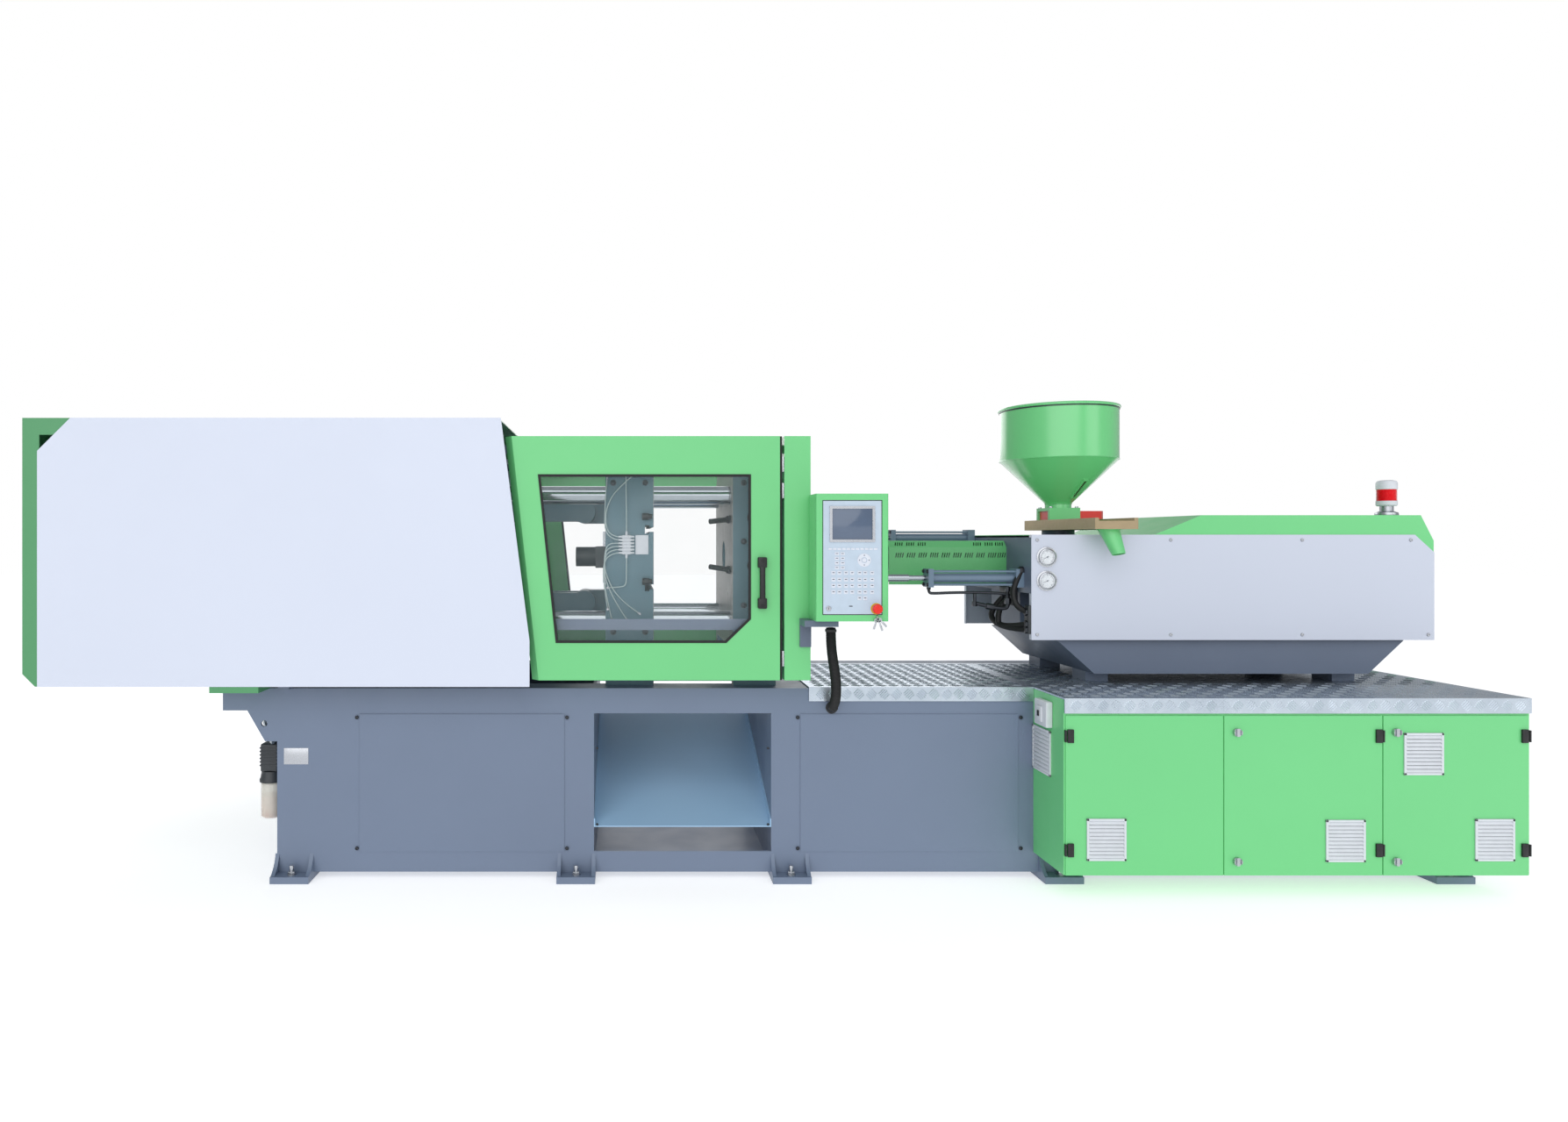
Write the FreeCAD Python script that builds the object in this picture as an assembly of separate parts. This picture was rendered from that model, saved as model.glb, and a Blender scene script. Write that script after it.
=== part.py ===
import FreeCAD, Part
import math
import os

# Horizontal plastic injection moulding machine with a double-toggle clamp. Millimetres.
# +X runs from the clamp end to the injection end, +Z is up, the operator stands at -Y.
# Every piece is drawn about the machine's own centreline (Y = 0) and moved by
# FRAME_SHIFT_Y when it is written, so that the origin lies under the middle of the box.

V = FreeCAD.Vector
X_AXIS = V(1, 0, 0)
Y_AXIS = V(0, 1, 0)
Z_AXIS = V(0, 0, 1)

# ---- overall ----
LENGTH = 5240.0
X_LEFT = -LENGTH / 2
X_RIGHT = LENGTH / 2
AXIS_Z = 1177.0          # height of the clamp and barrel axis above the floor
SLIDE_GAP = 0.3          # between sliding flat or round faces of different bodies
PIN_GAP = 0.1            # radial gap of a pin in its eye
SEAT_GAP = 0.05          # radial gap of a nut or collar fixed on its bar

# ---- bed ----
BED_X0 = -1755.0
BED_X1 = X_RIGHT - 140.0
BED_HALF = 410.0
BED_BOTTOM = 25.0
BED_TOP = 700.0
BED_WALL = 12.0
SLIDEWAY_IN = 290.0      # inner edge of the slideways under the platens
WELL_X0 = -1600.0
LEDGE_LENGTH = 200.0
LEDGE_DEPTH = 82.0
GUSSET_DEPTH = 195.0
GUSSET_HOLE_R = 12.0
PANEL_LEFT_X = (-1451.0, -699.0)
PANEL_RIGHT_X = (169.0, 969.0)
PANEL_Z = (100.0, 605.0)
PANEL_THICK = 3.0
PANEL_LAP = 22.0
CHUTE_X = (-590.0, 62.0)
CHUTE_Z = (100.0, 608.0)
CHUTE_SHEET = 4.0
CHUTE_BACK_Z = 500.0
CHUTE_FRONT_Z = 190.0
CHUTE_SIDE = 30.0
FOOT_X = (-1691.0, -654.0, 130.0, 1115.0, X_RIGHT - 90.0)
FOOT_WIDTH = 140.0
FOOT_OUT = 60.0
FOOT_IN = 90.0
FOOT_GUSSET = 14.0
FOOT_GUSSET_HEIGHT = 68.0
FOOT_HOLE_R = 11.0

# ---- platens and tie bars ----
TIE_HALF = 240.0         # tie bars stand at +-TIE_HALF in Y and Z
TIE_R = 35.0
PLATEN_HALF = 335.0
PLATEN_HALF_Z = 345.0
MOULD_GAP = 296.0
FIXED_FACE_X = -72.0
FIXED_THICK = 162.0
MOVING_THICK = 181.0
END_THICK = 170.0
PLATEN_CHAMFER = 45.0
NUT_R = 60.0
NUT_LENGTH = 55.0
ADJUST_NUT_R = 62.0
ADJUST_NUT_LENGTH = 80.0
TIE_OVERHANG = 12.0
TIE_TAIL = 160.0         # tie bar length left behind the adjusting nuts
SHOE_IN = 296.0          # inner edge of the shoes that ride on the slideways
LOCATING_R = 62.5
LOCATING_DEPTH = 60.0
NOZZLE_CONE_R = 112.0
MOULD_HOLE_R = 7.0
MOULD_HOLE_DEPTH = 32.0
MOULD_HOLE_Y = 175.0
MOULD_HOLE_Z = 140.0
SLOT_DZ = 108.0
SLOT_NECK = 18.0
SLOT_HEAD = 32.0
SLOT_NECK_DEPTH = 16.0
SLOT_DEPTH = 33.0

# ---- toggle ----
TOGGLE_HALF = 180.0      # height of the outer pivots above and below the axis
REAR_LINK = 250.0
FRONT_LINK = 330.0
CROSS_EYE = 100.0        # from the end platen pivot to the crosshead link's eye
CROSS_LINK = 230.0
CROSS_HALF = 100.0       # height of the crosshead pivots
MOVING_LUG = 91.0        # from the moving platen's back to its pivots
END_LUG = 75.0           # from the end platen's face to its pivots
EYE_R = 45.0
PIN_R = 26.0
CROSS_EYE_R = 25.0
CROSS_PIN_R = 14.0
INNER_HALF = 40.0        # half thickness of the rear links and the moving platen's lugs
OUTER_HALF = 85.0        # outside of the front links and the end platen's lugs
SIDE_HALF = 108.0        # outside of the crosshead links
SLAB_GAP = 0.5
CROSS_LENGTH = 80.0
CLAMP_ROD_R = 30.0
CLAMP_TUBE_R = 78.0
CLAMP_BORE_R = 62.0
CLAMP_LENGTH = 420.0
CLAMP_CAP = 28.0

# ---- ejector ----
EJECTOR_POCKET = 112.0
EJECTOR_POCKET_DEPTH = 130.0
EJECTOR_PLATE = 20.0
EJECTOR_START = 4.0      # plate's front face inside the platen's back face
EJECTOR_ROD_R = 12.0
EJECTOR_ROD_DY = 70.0
EJECTOR_ROD_DZ = 70.0
EJECTOR_TUBE_R = 40.0
EJECTOR_TUBE = 84.0
EJECTOR_ROD_REACH = 98.0
EJECTOR_BRIDGE_X = 26.0
EJECTOR_PISTON_R = 14.0

# ---- guarding of the clamp ----
COVER_HALF = 526.0       # to the face that the side panels are bolted on
COVER_TOP = 1680.0
COVER_BOTTOM = 723.0
COVER_SHEET = 4.0
COVER_RIM = 60.0
COVER_RIGHT_TOP = -917.0
COVER_RIGHT_BOTTOM = -815.0
COVER_BEND_Z = 888.0     # where the slanting right edge turns upright
COVER_CORNER = 118.0
COVER_BACK_EDGE = 55.0   # green margin left of the side panel
GATE_FACE = 500.0
GATE_SHEET = 3.0
GATE_DEPTH = 30.0
GATE_X1 = 80.0
GATE_TOP = 1618.0
GATE_BOTTOM = 742.0
GATE_LEFT_TOP = -882.0
GATE_LEFT_BOTTOM = -785.0
WINDOW_X0 = -788.0
WINDOW_X0_BOTTOM = -724.0
WINDOW_X1 = -24.0
WINDOW_TOP = 1481.0
WINDOW_BOTTOM = 876.0
WINDOW_CUT_X = 88.0
WINDOW_CUT_Z = 85.0
WINDOW_R = 22.0
PANE_LAP = 14.0
PANE_THICK = 5.0
COLUMN_X = (96.0, 190.0)
COLUMN_IN = 440.0
RAIL_FACE = 455.0
RAIL_THICK = 12.0
RAIL_LOW_Z = (918.0, 958.0)
RAIL_HIGH_Z = (1560.0, 1590.0)
RAIL_X0 = -1740.0
RAIL_POST = 40.0
HANGER_LENGTH = 55.0
HANGER_LOW_X = (-805.0, 10.0)
HANGER_HIGH_X = (-850.0, 10.0)

# ---- deck and electrical cabinet ----
CABINET_X0 = 1026.0
CABINET_FRONT = 660.0
CABINET_Z = (98.0, 699.0)
CABINET_SHEET = 3.0
DECK_THICK = 5.0
DECK_LIP = 52.0
DECK_FRONT = 416.0
DECK_BACK = 260.0
DECK_OVERHANG = 6.0
DECK_X0 = 200.0
DOOR_SEAMS = (1572.0, 2116.0)
DOOR_THICK = 4.0
DOOR_GAP = 4.0
DOOR_TOP = 644.0
DOOR_LIP = 24.0
HINGE_R = 3.5
HINGE_LENGTH = 40.0
HINGE_OUT = 4.5          # hinge line in front of the doors
HINGE_LEAF = 2.0
HINGE_Z = (165.0, 555.0)
LOCK_R = 14.0
LOCK_OUT = 12.0
LOCK_SHAFT_R = 8.0
LOCK_SHAFT = 16.0
LOCK_INSET = 42.0
LOCK_Z = (147.0, 588.0)
FRAME_FRONT = CABINET_FRONT - DOOR_THICK - SLIDE_GAP

# ---- injection base ----
BASE_X = (1150.0, 2453.0)
BASE_FLOOR_X = (1289.0, 2320.0)
BASE_HALF = 330.0
BASE_BOTTOM = 742.0
BASE_TOP = 868.0
BASE_WALL = 14.0
BASE_BLOCK = 86.0
WAY_Y = 260.0
WAY_WIDTH = 44.0
WAY_HEIGHT = 25.0

# ---- injection unit ----
HEAD_X = (1040.0, 1083.0)
HEAD_HALF_Z = 132.0
HOUSING_X1 = 1420.0
HOUSING_HALF = 150.0
HOUSING_UP = 78.0
REAR_PLATE_X = (2200.0, 2250.0)
REAR_PLATE_UP = 110.0
REAR_STEP = 30.0
BEAM_RAIL_HEIGHT = 62.0
GUIDE_Y = 158.0
GUIDE_R = 28.0
BARREL_R = 52.0
SCREW_R = 19.0
BARREL_X0 = 165.0
NOZZLE_R = 30.0
NOZZLE_X0 = 62.0
NOZZLE_TIP_X = 10.0
NOZZLE_TIP_R = 9.0
HOPPER_X = 1300.0
THROAT_R = 30.0
THROAT_BOSS = 62.0
BEAM_X = (1700.0, 1780.0)
BEAM_HALF = 214.0
BEAM_HALF_Z = 92.0
DRIVE_R = 40.0
MOTOR_R = 92.0
MOTOR_LENGTH = 200.0
GUARD_X0 = 573.0
GUARD_HALF = 122.0
GUARD_UP = 65.0
GUARD_DOWN = 109.0
GUARD_BEVEL = 26.0
GUARD_SHEET = 2.0
PULL_Y = 260.0
PULL_DZ = 77.0
PULL_TUBE_X = (697.0, 1010.0)
PULL_TUBE_R = 18.0
PULL_BORE_R = 14.5
PULL_HEAD = 70.0
PULL_FRONT_CAP = 20.0
PULL_ROD_R = 10.0
PULL_SLEEVE_R = 14.0
PULL_SLEEVE_X1 = 609.0
PULL_ROD_X1 = 940.0
PULL_FLANGE_R = 32.0
PULL_FLANGE = 20.0
PULL_STAY_R = 4.0
PULL_STAY_OFFSET = 25.0
GUARD_ROD_Y = 312.0
GUARD_ROD_DZ = 73.0
GUARD_ROD_R = 12.0
GUARD_ROD_X1 = 865.0
GUARD_BAR_X = (692.0, 716.0)
GUARD_BAR_DROP = 130.0

# ---- injection cover ----
SIDE_X = (1042.0, 2543.0)
SIDE_Z = (872.0, 1265.0)
SIDE_FACE = 360.0
SIDE_SHEET = 3.0
SIDE_CORNER_X = 72.0
SIDE_CORNER_Z = 66.0
TOP_RAISE_X = (1500.0, 1676.0)
TOP_HIGH = 1338.0
TOP_FLAT_X1 = 2495.0
TOP_HOLE = 115.0
BEACON_X = 2445.0
BEACON_Y = -258.0
BEACON_R = 38.0
BEACON_BODY_R = 35.0
BEACON_BASE = 16.0
BEACON_STEM_R = 24.0
BEACON_STEM = 24.0
BEACON_TOP = 1474.0

# ---- hopper ----
HOPPER_TURN = -90.0      # direction of the hopper's slide, from +X
HOPPER_BASE_Z = 1285.0
HOPPER_PLATE = 30.0
HOPPER_BASE_BACK = 145.0
HOPPER_BASE_FRONT = 475.0
HOPPER_BASE_HALF = 78.0
HOPPER_GIB = 14.0
HOPPER_GIB_HEIGHT = 11.0
HOPPER_TRAVEL = 415.0    # from the throat to the drain hole
FOOT_PLATE = 12.0
FOOT_PLATE_HALF = 62.0
SHUTOFF_HEIGHT = 36.0
SHUTOFF_HALF = 45.0
SHUTOFF_BACK = 55.0
SHUTOFF_FRONT = 168.0
SHUTOFF_CHAMFER = 12.0
NECK_R = 50.0
NECK_BORE_R = 34.0
NECK_FLANGE = 12.0
HOPPER_R = 225.0
HOPPER_SHEET = 2.5
CONE_TOP = 1570.0
HOPPER_TOP = 1785.0
RIM_R = 6.0
DRAIN_R = 37.0
DRAIN_END_R = 23.0
DRAIN_DROP = 92.0
DRAIN_LEAN = (18.0, -40.0)
DRAIN_SHEET = 2.0

# ---- control panel ----
PANEL_X = (182.0, 432.0)
PANEL_Z0 = 965.0
PANEL_HEIGHT = 440.0
PANEL_FRONT = 640.0
PANEL_BACK = 512.0
PANEL_SHEET = 3.0
PANEL_BORDER = 22.0
FASCIA_THICK = 4.0
SWIVEL_X = 236.0
SWIVEL_Y = -572.0
SWIVEL_PIN_R = 12.0
BRACKET_DROP = 22.0
STOP_X = 389.0
STOP_Z = 1009.0
STOP_R = 17.0
STOP_RING_R = 20.0
STOP_SHAFT_R = 9.0
STOP_OUT = 28.0
STOP_TRAVEL = 6.0

# ---- conduit from the control panel to the bed ----
CONDUIT_R = 18.0
CONDUIT_POINTS = (
    (247.0, -572.0, 936.0),
    (249.0, -566.0, 872.0),
    (262.0, -548.0, 806.0),
    (277.0, -520.0, 742.0),
    (284.0, -488.0, 680.0),
    (284.0, -448.0, 641.0),
    (284.0, -410.0, 629.0),
)
GLAND_R = 22.0
GLAND_LENGTH = 16.0

# ---- lubricator ----
LUBE_Y = -330.0
LUBE_X = BED_X0 - 49.0
LUBE_PUMP_HALF = 34.0
LUBE_PUMP_Z = (340.0, 486.0)
LUBE_JAR_R = 42.0
LUBE_JAR_Z = (205.0, 340.0)
LUBE_CAP = 16.0

FRAME_SHIFT_Y = (CABINET_FRONT + LOCK_OUT - COVER_HALF - COVER_SHEET) / 2

# positions that follow from the sizes above
MOVING_FACE_X = FIXED_FACE_X - MOULD_GAP
MOVING_BACK_X = MOVING_FACE_X - MOVING_THICK
MOVING_PIVOT_X = MOVING_BACK_X - MOVING_LUG
END_PIVOT_X = MOVING_PIVOT_X - FRONT_LINK - REAR_LINK
END_FACE_X = END_PIVOT_X - END_LUG
END_BACK_X = END_FACE_X - END_THICK
FIXED_BACK_X = FIXED_FACE_X + FIXED_THICK
CROSS_X = END_PIVOT_X + CROSS_EYE + math.sqrt(CROSS_LINK ** 2 - (TOGGLE_HALF - CROSS_HALF) ** 2)
EJECTOR_BACK_X = MOVING_BACK_X - EJECTOR_BRIDGE_X


def box(x0, x1, y0, y1, z0, z1):
    return Part.makeBox(x1 - x0, y1 - y0, z1 - z0, V(x0, y0, z0))


def bar(start, axis, radius, length):
    return Part.makeCylinder(radius, length, start, axis)


def prism(points, direction):
    corners = [V(*point) for point in points]
    return Part.Face(Part.makePolygon(corners + corners[:1])).extrude(direction)


def prism_xz(outline, y0, y1):
    return prism([(x, y0, z) for x, z in outline], V(0, y1 - y0, 0))


def prism_yz(outline, x0, x1):
    return prism([(x0, y, z) for y, z in outline], V(x1 - x0, 0, 0))


def prism_xy(outline, z0, z1):
    return prism([(x, y, z0) for x, y in outline], V(0, 0, z1 - z0))


def union(shapes):
    return shapes[0].fuse(shapes[1:]).removeSplitter()


def cut(shape, tools):
    return shape.cut(tools).removeSplitter()


def group(shapes):
    return Part.makeCompound(shapes)


def mirror_y(shape):
    return shape.mirror(V(0, 0, 0), Y_AXIS)


def mirror_axis(shape):
    return shape.mirror(V(0, 0, AXIS_Z), Z_AXIS)


def inset_xz(outline, y, distance):
    corners = [V(x, y, z) for x, z in outline]
    wire = Part.makePolygon(corners + corners[:1])
    return [(vertex.X, vertex.Z) for vertex in wire.makeOffset2D(-distance).OrderedVertexes]


def save(name, shape):
    moved = shape.copy()
    moved.translate(V(0, FRAME_SHIFT_Y, 0))
    solids = moved.Solids
    faulty = [solid for solid in solids if not solid.isValid() or solid.Volume <= 0]
    if not solids or faulty:
        raise ValueError(name + " has a faulty solid")
    moved.exportStep("parts/" + name + ".step")
    print(name, len(solids), round(sum(solid.Volume for solid in solids) / 1e6, 3), "litres")


# ---- bed and what stands on it ----

def bed_frame():
    outer = box(BED_X0, BED_X1, -BED_HALF, BED_HALF, BED_BOTTOM, BED_TOP)
    edges = [CHUTE_X[0] - BED_WALL, CHUTE_X[1] + BED_WALL, CABINET_X0 + BED_WALL]
    starts = [BED_X0 + BED_WALL, CHUTE_X[0], CHUTE_X[1] + BED_WALL, CABINET_X0 + BED_WALL]
    ends = [edges[0], CHUTE_X[1], CABINET_X0, BED_X1 - BED_WALL]
    inner_y = BED_HALF - BED_WALL
    rooms = [
        box(start, end, -inner_y, inner_y, BED_BOTTOM + BED_WALL, BED_TOP - BED_WALL)
        for start, end in zip(starts, ends)
    ]
    well = box(WELL_X0, CHUTE_X[1], -SLIDEWAY_IN, SLIDEWAY_IN, BED_TOP - 2 * BED_WALL, BED_TOP + 1)
    chute_way = box(CHUTE_X[0], CHUTE_X[1], -BED_HALF - 1, BED_HALF + 1, CHUTE_Z[0], CHUTE_Z[1])
    hatches = [
        box(
            span[0] + PANEL_LAP, span[1] - PANEL_LAP, -BED_HALF - 1, -inner_y + 1,
            PANEL_Z[0] + PANEL_LAP, PANEL_Z[1] - PANEL_LAP,
        )
        for span in (PANEL_LEFT_X, PANEL_RIGHT_X)
    ]
    ledge = box(
        BED_X0 - LEDGE_LENGTH, BED_X0, -BED_HALF, BED_HALF, BED_TOP - LEDGE_DEPTH, BED_TOP
    )
    shell = cut(outer, rooms + [well, chute_way] + hatches)
    return union([shell, ledge] + [bed_gusset(side) for side in (-1, 1)])


def bed_gusset(side):
    low = BED_TOP - GUSSET_DEPTH
    outline = [
        (BED_X0, low), (BED_X0 - 45, low), (BED_X0 - 110, BED_TOP - LEDGE_DEPTH),
        (BED_X0, BED_TOP - LEDGE_DEPTH),
    ]
    outer = side * BED_HALF
    plate = prism_xz(outline, outer - side * BED_WALL, outer)
    hole = bar(V(BED_X0 - 48, -BED_HALF - 1, BED_TOP - 130), Y_AXIS, GUSSET_HOLE_R, 2 * BED_HALF + 2)
    return plate.cut(hole)


def bed_panels():
    return group([
        box(span[0], span[1], -BED_HALF - PANEL_THICK, -BED_HALF, PANEL_Z[0], PANEL_Z[1])
        for span in (PANEL_LEFT_X, PANEL_RIGHT_X)
    ])


def product_chute():
    x0, x1 = CHUTE_X
    reach = BED_HALF - BED_WALL
    profile = [
        (-BED_HALF, CHUTE_FRONT_Z), (reach, CHUTE_BACK_Z),
        (reach, CHUTE_BACK_Z + CHUTE_SIDE), (-BED_HALF, CHUTE_FRONT_Z + CHUTE_SIDE),
    ]
    raised = [(y, z + CHUTE_SHEET) for y, z in profile]
    body = prism_yz(profile, x0, x1)
    room = prism_yz(raised, x0 + CHUTE_SHEET, x1 - CHUTE_SHEET)
    return cut(body, [room])


def levelling_foot(x, side):
    half = FOOT_WIDTH / 2
    low = min(side * (BED_HALF + FOOT_OUT), side * (BED_HALF - FOOT_IN))
    plate = box(x - half, x + half, low, low + FOOT_OUT + FOOT_IN, 0, BED_BOTTOM)
    plate = plate.cut(bar(V(x, side * (BED_HALF + FOOT_OUT / 2), -1), Z_AXIS, FOOT_HOLE_R, BED_BOTTOM + 2))
    wall = side * BED_HALF
    tip = side * (BED_HALF + FOOT_OUT - 8)
    top = BED_BOTTOM + FOOT_GUSSET_HEIGHT
    bend = V(0, side * (BED_HALF + 0.3 * FOOT_OUT), BED_BOTTOM + 0.42 * FOOT_GUSSET_HEIGHT)
    gussets = []
    for x0 in (x - half, x + half - FOOT_GUSSET):
        curve = Part.Arc(V(x0, tip, BED_BOTTOM), bend + V(x0, 0, 0), V(x0, wall, top)).toShape()
        foot = Part.makeLine(V(x0, wall, top), V(x0, wall, BED_BOTTOM))
        base = Part.makeLine(V(x0, wall, BED_BOTTOM), V(x0, tip, BED_BOTTOM))
        face = Part.Face(Part.Wire([curve, foot, base]))
        gussets.append(face.extrude(V(FOOT_GUSSET, 0, 0)))
    return union([plate] + gussets)


def levelling_feet():
    return group([levelling_foot(x, side) for x in FOOT_X for side in (-1, 1)])


def pump_unit():
    x0 = PANEL_RIGHT_X[0] + 60
    low = BED_BOTTOM + BED_WALL
    tank = box(x0, PANEL_RIGHT_X[1] - 60, -250, 250, low, low + 230)
    foot = box(x0 + 20, x0 + 300, -90, 90, low + 230, low + 300)
    centre = V(x0, 0, low + 370)
    motor = bar(centre, X_AXIS, 120, 320)
    pump = bar(centre + V(320, 0, 0), X_AXIS, 70, 150)
    return group([tank, union([foot, motor]), pump])


# ---- platens, tie bars and toggle ----

def at_tie_bars(make):
    spots = [(y, z) for y in (-TIE_HALF, TIE_HALF) for z in (-TIE_HALF, TIE_HALF)]
    return [make(y, AXIS_Z + z) for y, z in spots]


def platen_block(x0, x1, bore_r):
    corner = PLATEN_CHAMFER
    half = PLATEN_HALF
    high = PLATEN_HALF_Z
    outline = [
        (-half, AXIS_Z - high), (half, AXIS_Z - high), (half, AXIS_Z + high - corner),
        (half - corner, AXIS_Z + high), (-half + corner, AXIS_Z + high), (-half, AXIS_Z + high - corner),
    ]
    block = prism_yz(outline, x0, x1)
    bores = at_tie_bars(lambda y, z: bar(V(x0 - 1, y, z), X_AXIS, bore_r, x1 - x0 + 2))
    return block.cut(bores)


def shoes(x0, x1, bottom):
    top = AXIS_Z - PLATEN_HALF_Z
    return [box(x0, x1, *sorted((side * SHOE_IN, side * PLATEN_HALF)), bottom, top) for side in (-1, 1)]


def stationary_platen():
    block = platen_block(FIXED_FACE_X, FIXED_BACK_X, TIE_R + SEAT_GAP)
    bore = bar(V(FIXED_FACE_X - 1, 0, AXIS_Z), X_AXIS, LOCATING_R, LOCATING_DEPTH + 2)
    start = V(FIXED_FACE_X + LOCATING_DEPTH, 0, AXIS_Z)
    cone = Part.makeCone(LOCATING_R, NOZZLE_CONE_R, FIXED_THICK - LOCATING_DEPTH, start, X_AXIS)
    holes = [
        bar(V(FIXED_FACE_X - 1, y, AXIS_Z + z), X_AXIS, MOULD_HOLE_R, MOULD_HOLE_DEPTH + 1)
        for y in (-MOULD_HOLE_Y, MOULD_HOLE_Y) for z in (-MOULD_HOLE_Z, MOULD_HOLE_Z)
    ]
    return union([cut(block, [bore, cone] + holes)] + shoes(FIXED_FACE_X, FIXED_BACK_X, BED_TOP))


def tie_bars():
    x0 = END_BACK_X - ADJUST_NUT_LENGTH - TIE_TAIL
    x1 = FIXED_BACK_X + NUT_LENGTH + TIE_OVERHANG
    return group(at_tie_bars(lambda y, z: bar(V(x0, y, z), X_AXIS, TIE_R, x1 - x0)))


def nut(x0, y, z, radius, length, gap):
    start = V(x0, y, z)
    return bar(start, X_AXIS, radius, length).cut(bar(start, X_AXIS, TIE_R + gap, length))


def tie_bar_nuts():
    return group(at_tie_bars(lambda y, z: nut(FIXED_BACK_X, y, z, NUT_R, NUT_LENGTH, SEAT_GAP)))


def adjusting_nuts():
    x0 = END_BACK_X - ADJUST_NUT_LENGTH
    return group(at_tie_bars(lambda y, z: nut(x0, y, z, ADJUST_NUT_R, ADJUST_NUT_LENGTH, PIN_GAP)))


def end_platen():
    block = platen_block(END_FACE_X - END_THICK, END_FACE_X, TIE_R + SLIDE_GAP)
    rod_hole = bar(V(END_BACK_X - 1, 0, AXIS_Z), X_AXIS, CLAMP_ROD_R + SLIDE_GAP, END_THICK + 2)
    solids = [cut(block, [rod_hole])] + shoes(END_BACK_X, END_FACE_X, BED_TOP + SLIDE_GAP)
    for level in (-1, 1):
        z = AXIS_Z + level * TOGGLE_HALF
        for side in (-1, 1):
            y0, y1 = sorted((side * (INNER_HALF + SLAB_GAP), side * OUTER_HALF))
            arm = box(END_FACE_X, END_PIVOT_X, y0, y1, z - EYE_R, z + EYE_R)
            eye = bar(V(END_PIVOT_X, y0, z), Y_AXIS, EYE_R, y1 - y0)
            solids += [arm, eye]
        solids.append(bar(V(END_PIVOT_X, -OUTER_HALF, z), Y_AXIS, PIN_R, 2 * OUTER_HALF))
    return union(solids)


def clamp_cylinder():
    x0 = END_BACK_X - CLAMP_LENGTH
    start = V(x0, 0, AXIS_Z)
    tube = bar(start, X_AXIS, CLAMP_TUBE_R, CLAMP_LENGTH)
    half = CLAMP_TUBE_R + 14
    caps = [
        box(x, x + CLAMP_CAP, -half, half, AXIS_Z - half, AXIS_Z + half)
        for x in (x0, END_BACK_X - CLAMP_CAP)
    ]
    bore = bar(start + V(CLAMP_CAP, 0, 0), X_AXIS, CLAMP_BORE_R, CLAMP_LENGTH - 2 * CLAMP_CAP)
    mouth = bar(V(END_BACK_X - CLAMP_CAP - 1, 0, AXIS_Z), X_AXIS, CLAMP_ROD_R + SLIDE_GAP, CLAMP_CAP + 2)
    return cut(union([tube] + caps), [bore, mouth])


def crosshead():
    half = CROSS_LENGTH / 2
    body = box(
        CROSS_X - half, CROSS_X + half, -OUTER_HALF, OUTER_HALF, AXIS_Z - CROSS_HALF, AXIS_Z + CROSS_HALF
    )
    solids = [body]
    eye_r = CROSS_EYE_R
    for level in (-1, 1):
        centre = V(CROSS_X, -OUTER_HALF, AXIS_Z + level * CROSS_HALF)
        solids.append(bar(centre, Y_AXIS, eye_r, 2 * OUTER_HALF))
    holes = [
        bar(
            V(CROSS_X, -OUTER_HALF - 1, AXIS_Z + level * CROSS_HALF), Y_AXIS,
            CROSS_PIN_R + PIN_GAP, 2 * OUTER_HALF + 2,
        )
        for level in (-1, 1)
    ]
    block = cut(union(solids), holes)
    piston_x = END_BACK_X - CLAMP_CAP - 42
    rod = bar(V(piston_x, 0, AXIS_Z), X_AXIS, CLAMP_ROD_R, CROSS_X - half - piston_x)
    piston = bar(V(piston_x, 0, AXIS_Z), X_AXIS, CLAMP_BORE_R - SLIDE_GAP, 36)
    return group([block, union([rod, piston])])


def link_plate(x0, x1, z, y0, y1, radius0, radius1):
    centre0 = V(x0, y0, z)
    centre1 = V(x1, y0, z)
    width = 0.8 * min(radius0, radius1)
    web = box(x0, x1, y0, y1, z - width, z + width)
    return [web, bar(centre0, Y_AXIS, radius0, y1 - y0), bar(centre1, Y_AXIS, radius1, y1 - y0)]


def rear_link():
    z = AXIS_Z + TOGGLE_HALF
    elbow = END_PIVOT_X + REAR_LINK
    half = INNER_HALF
    solids = link_plate(END_PIVOT_X, elbow, z, -half, half, EYE_R, EYE_R)
    boss_half = OUTER_HALF + SLAB_GAP
    boss = bar(V(END_PIVOT_X + CROSS_EYE, -boss_half, z), Y_AXIS, CROSS_EYE_R, 2 * boss_half)
    hole = bar(V(END_PIVOT_X, -half - 1, z), Y_AXIS, PIN_R + PIN_GAP, 2 * half + 2)
    return cut(union(solids + [boss]), [hole])


def front_link():
    z = AXIS_Z + TOGGLE_HALF
    elbow = MOVING_PIVOT_X - FRONT_LINK
    solids = []
    for side in (-1, 1):
        y0, y1 = sorted((side * (INNER_HALF + SLAB_GAP), side * OUTER_HALF))
        solids += link_plate(elbow, MOVING_PIVOT_X, z, y0, y1, EYE_R, EYE_R)
    pin = bar(V(MOVING_PIVOT_X, -OUTER_HALF, z), Y_AXIS, PIN_R, 2 * OUTER_HALF)
    return union(solids + [pin])


def crosshead_link():
    solids = []
    z = AXIS_Z + CROSS_HALF
    for side in (-1, 1):
        y0, y1 = sorted((side * (OUTER_HALF + 2 * SLAB_GAP), side * SIDE_HALF))
        solids += link_plate(CROSS_X - CROSS_LINK, CROSS_X, z, y0, y1, CROSS_EYE_R, CROSS_EYE_R)
    pin = bar(V(CROSS_X, -SIDE_HALF, z), Y_AXIS, CROSS_PIN_R, 2 * SIDE_HALF)
    link = union(solids + [pin])
    rise = math.degrees(math.asin((TOGGLE_HALF - CROSS_HALF) / CROSS_LINK))
    link.rotate(V(CROSS_X, 0, z), Y_AXIS, rise)
    return link


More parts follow.
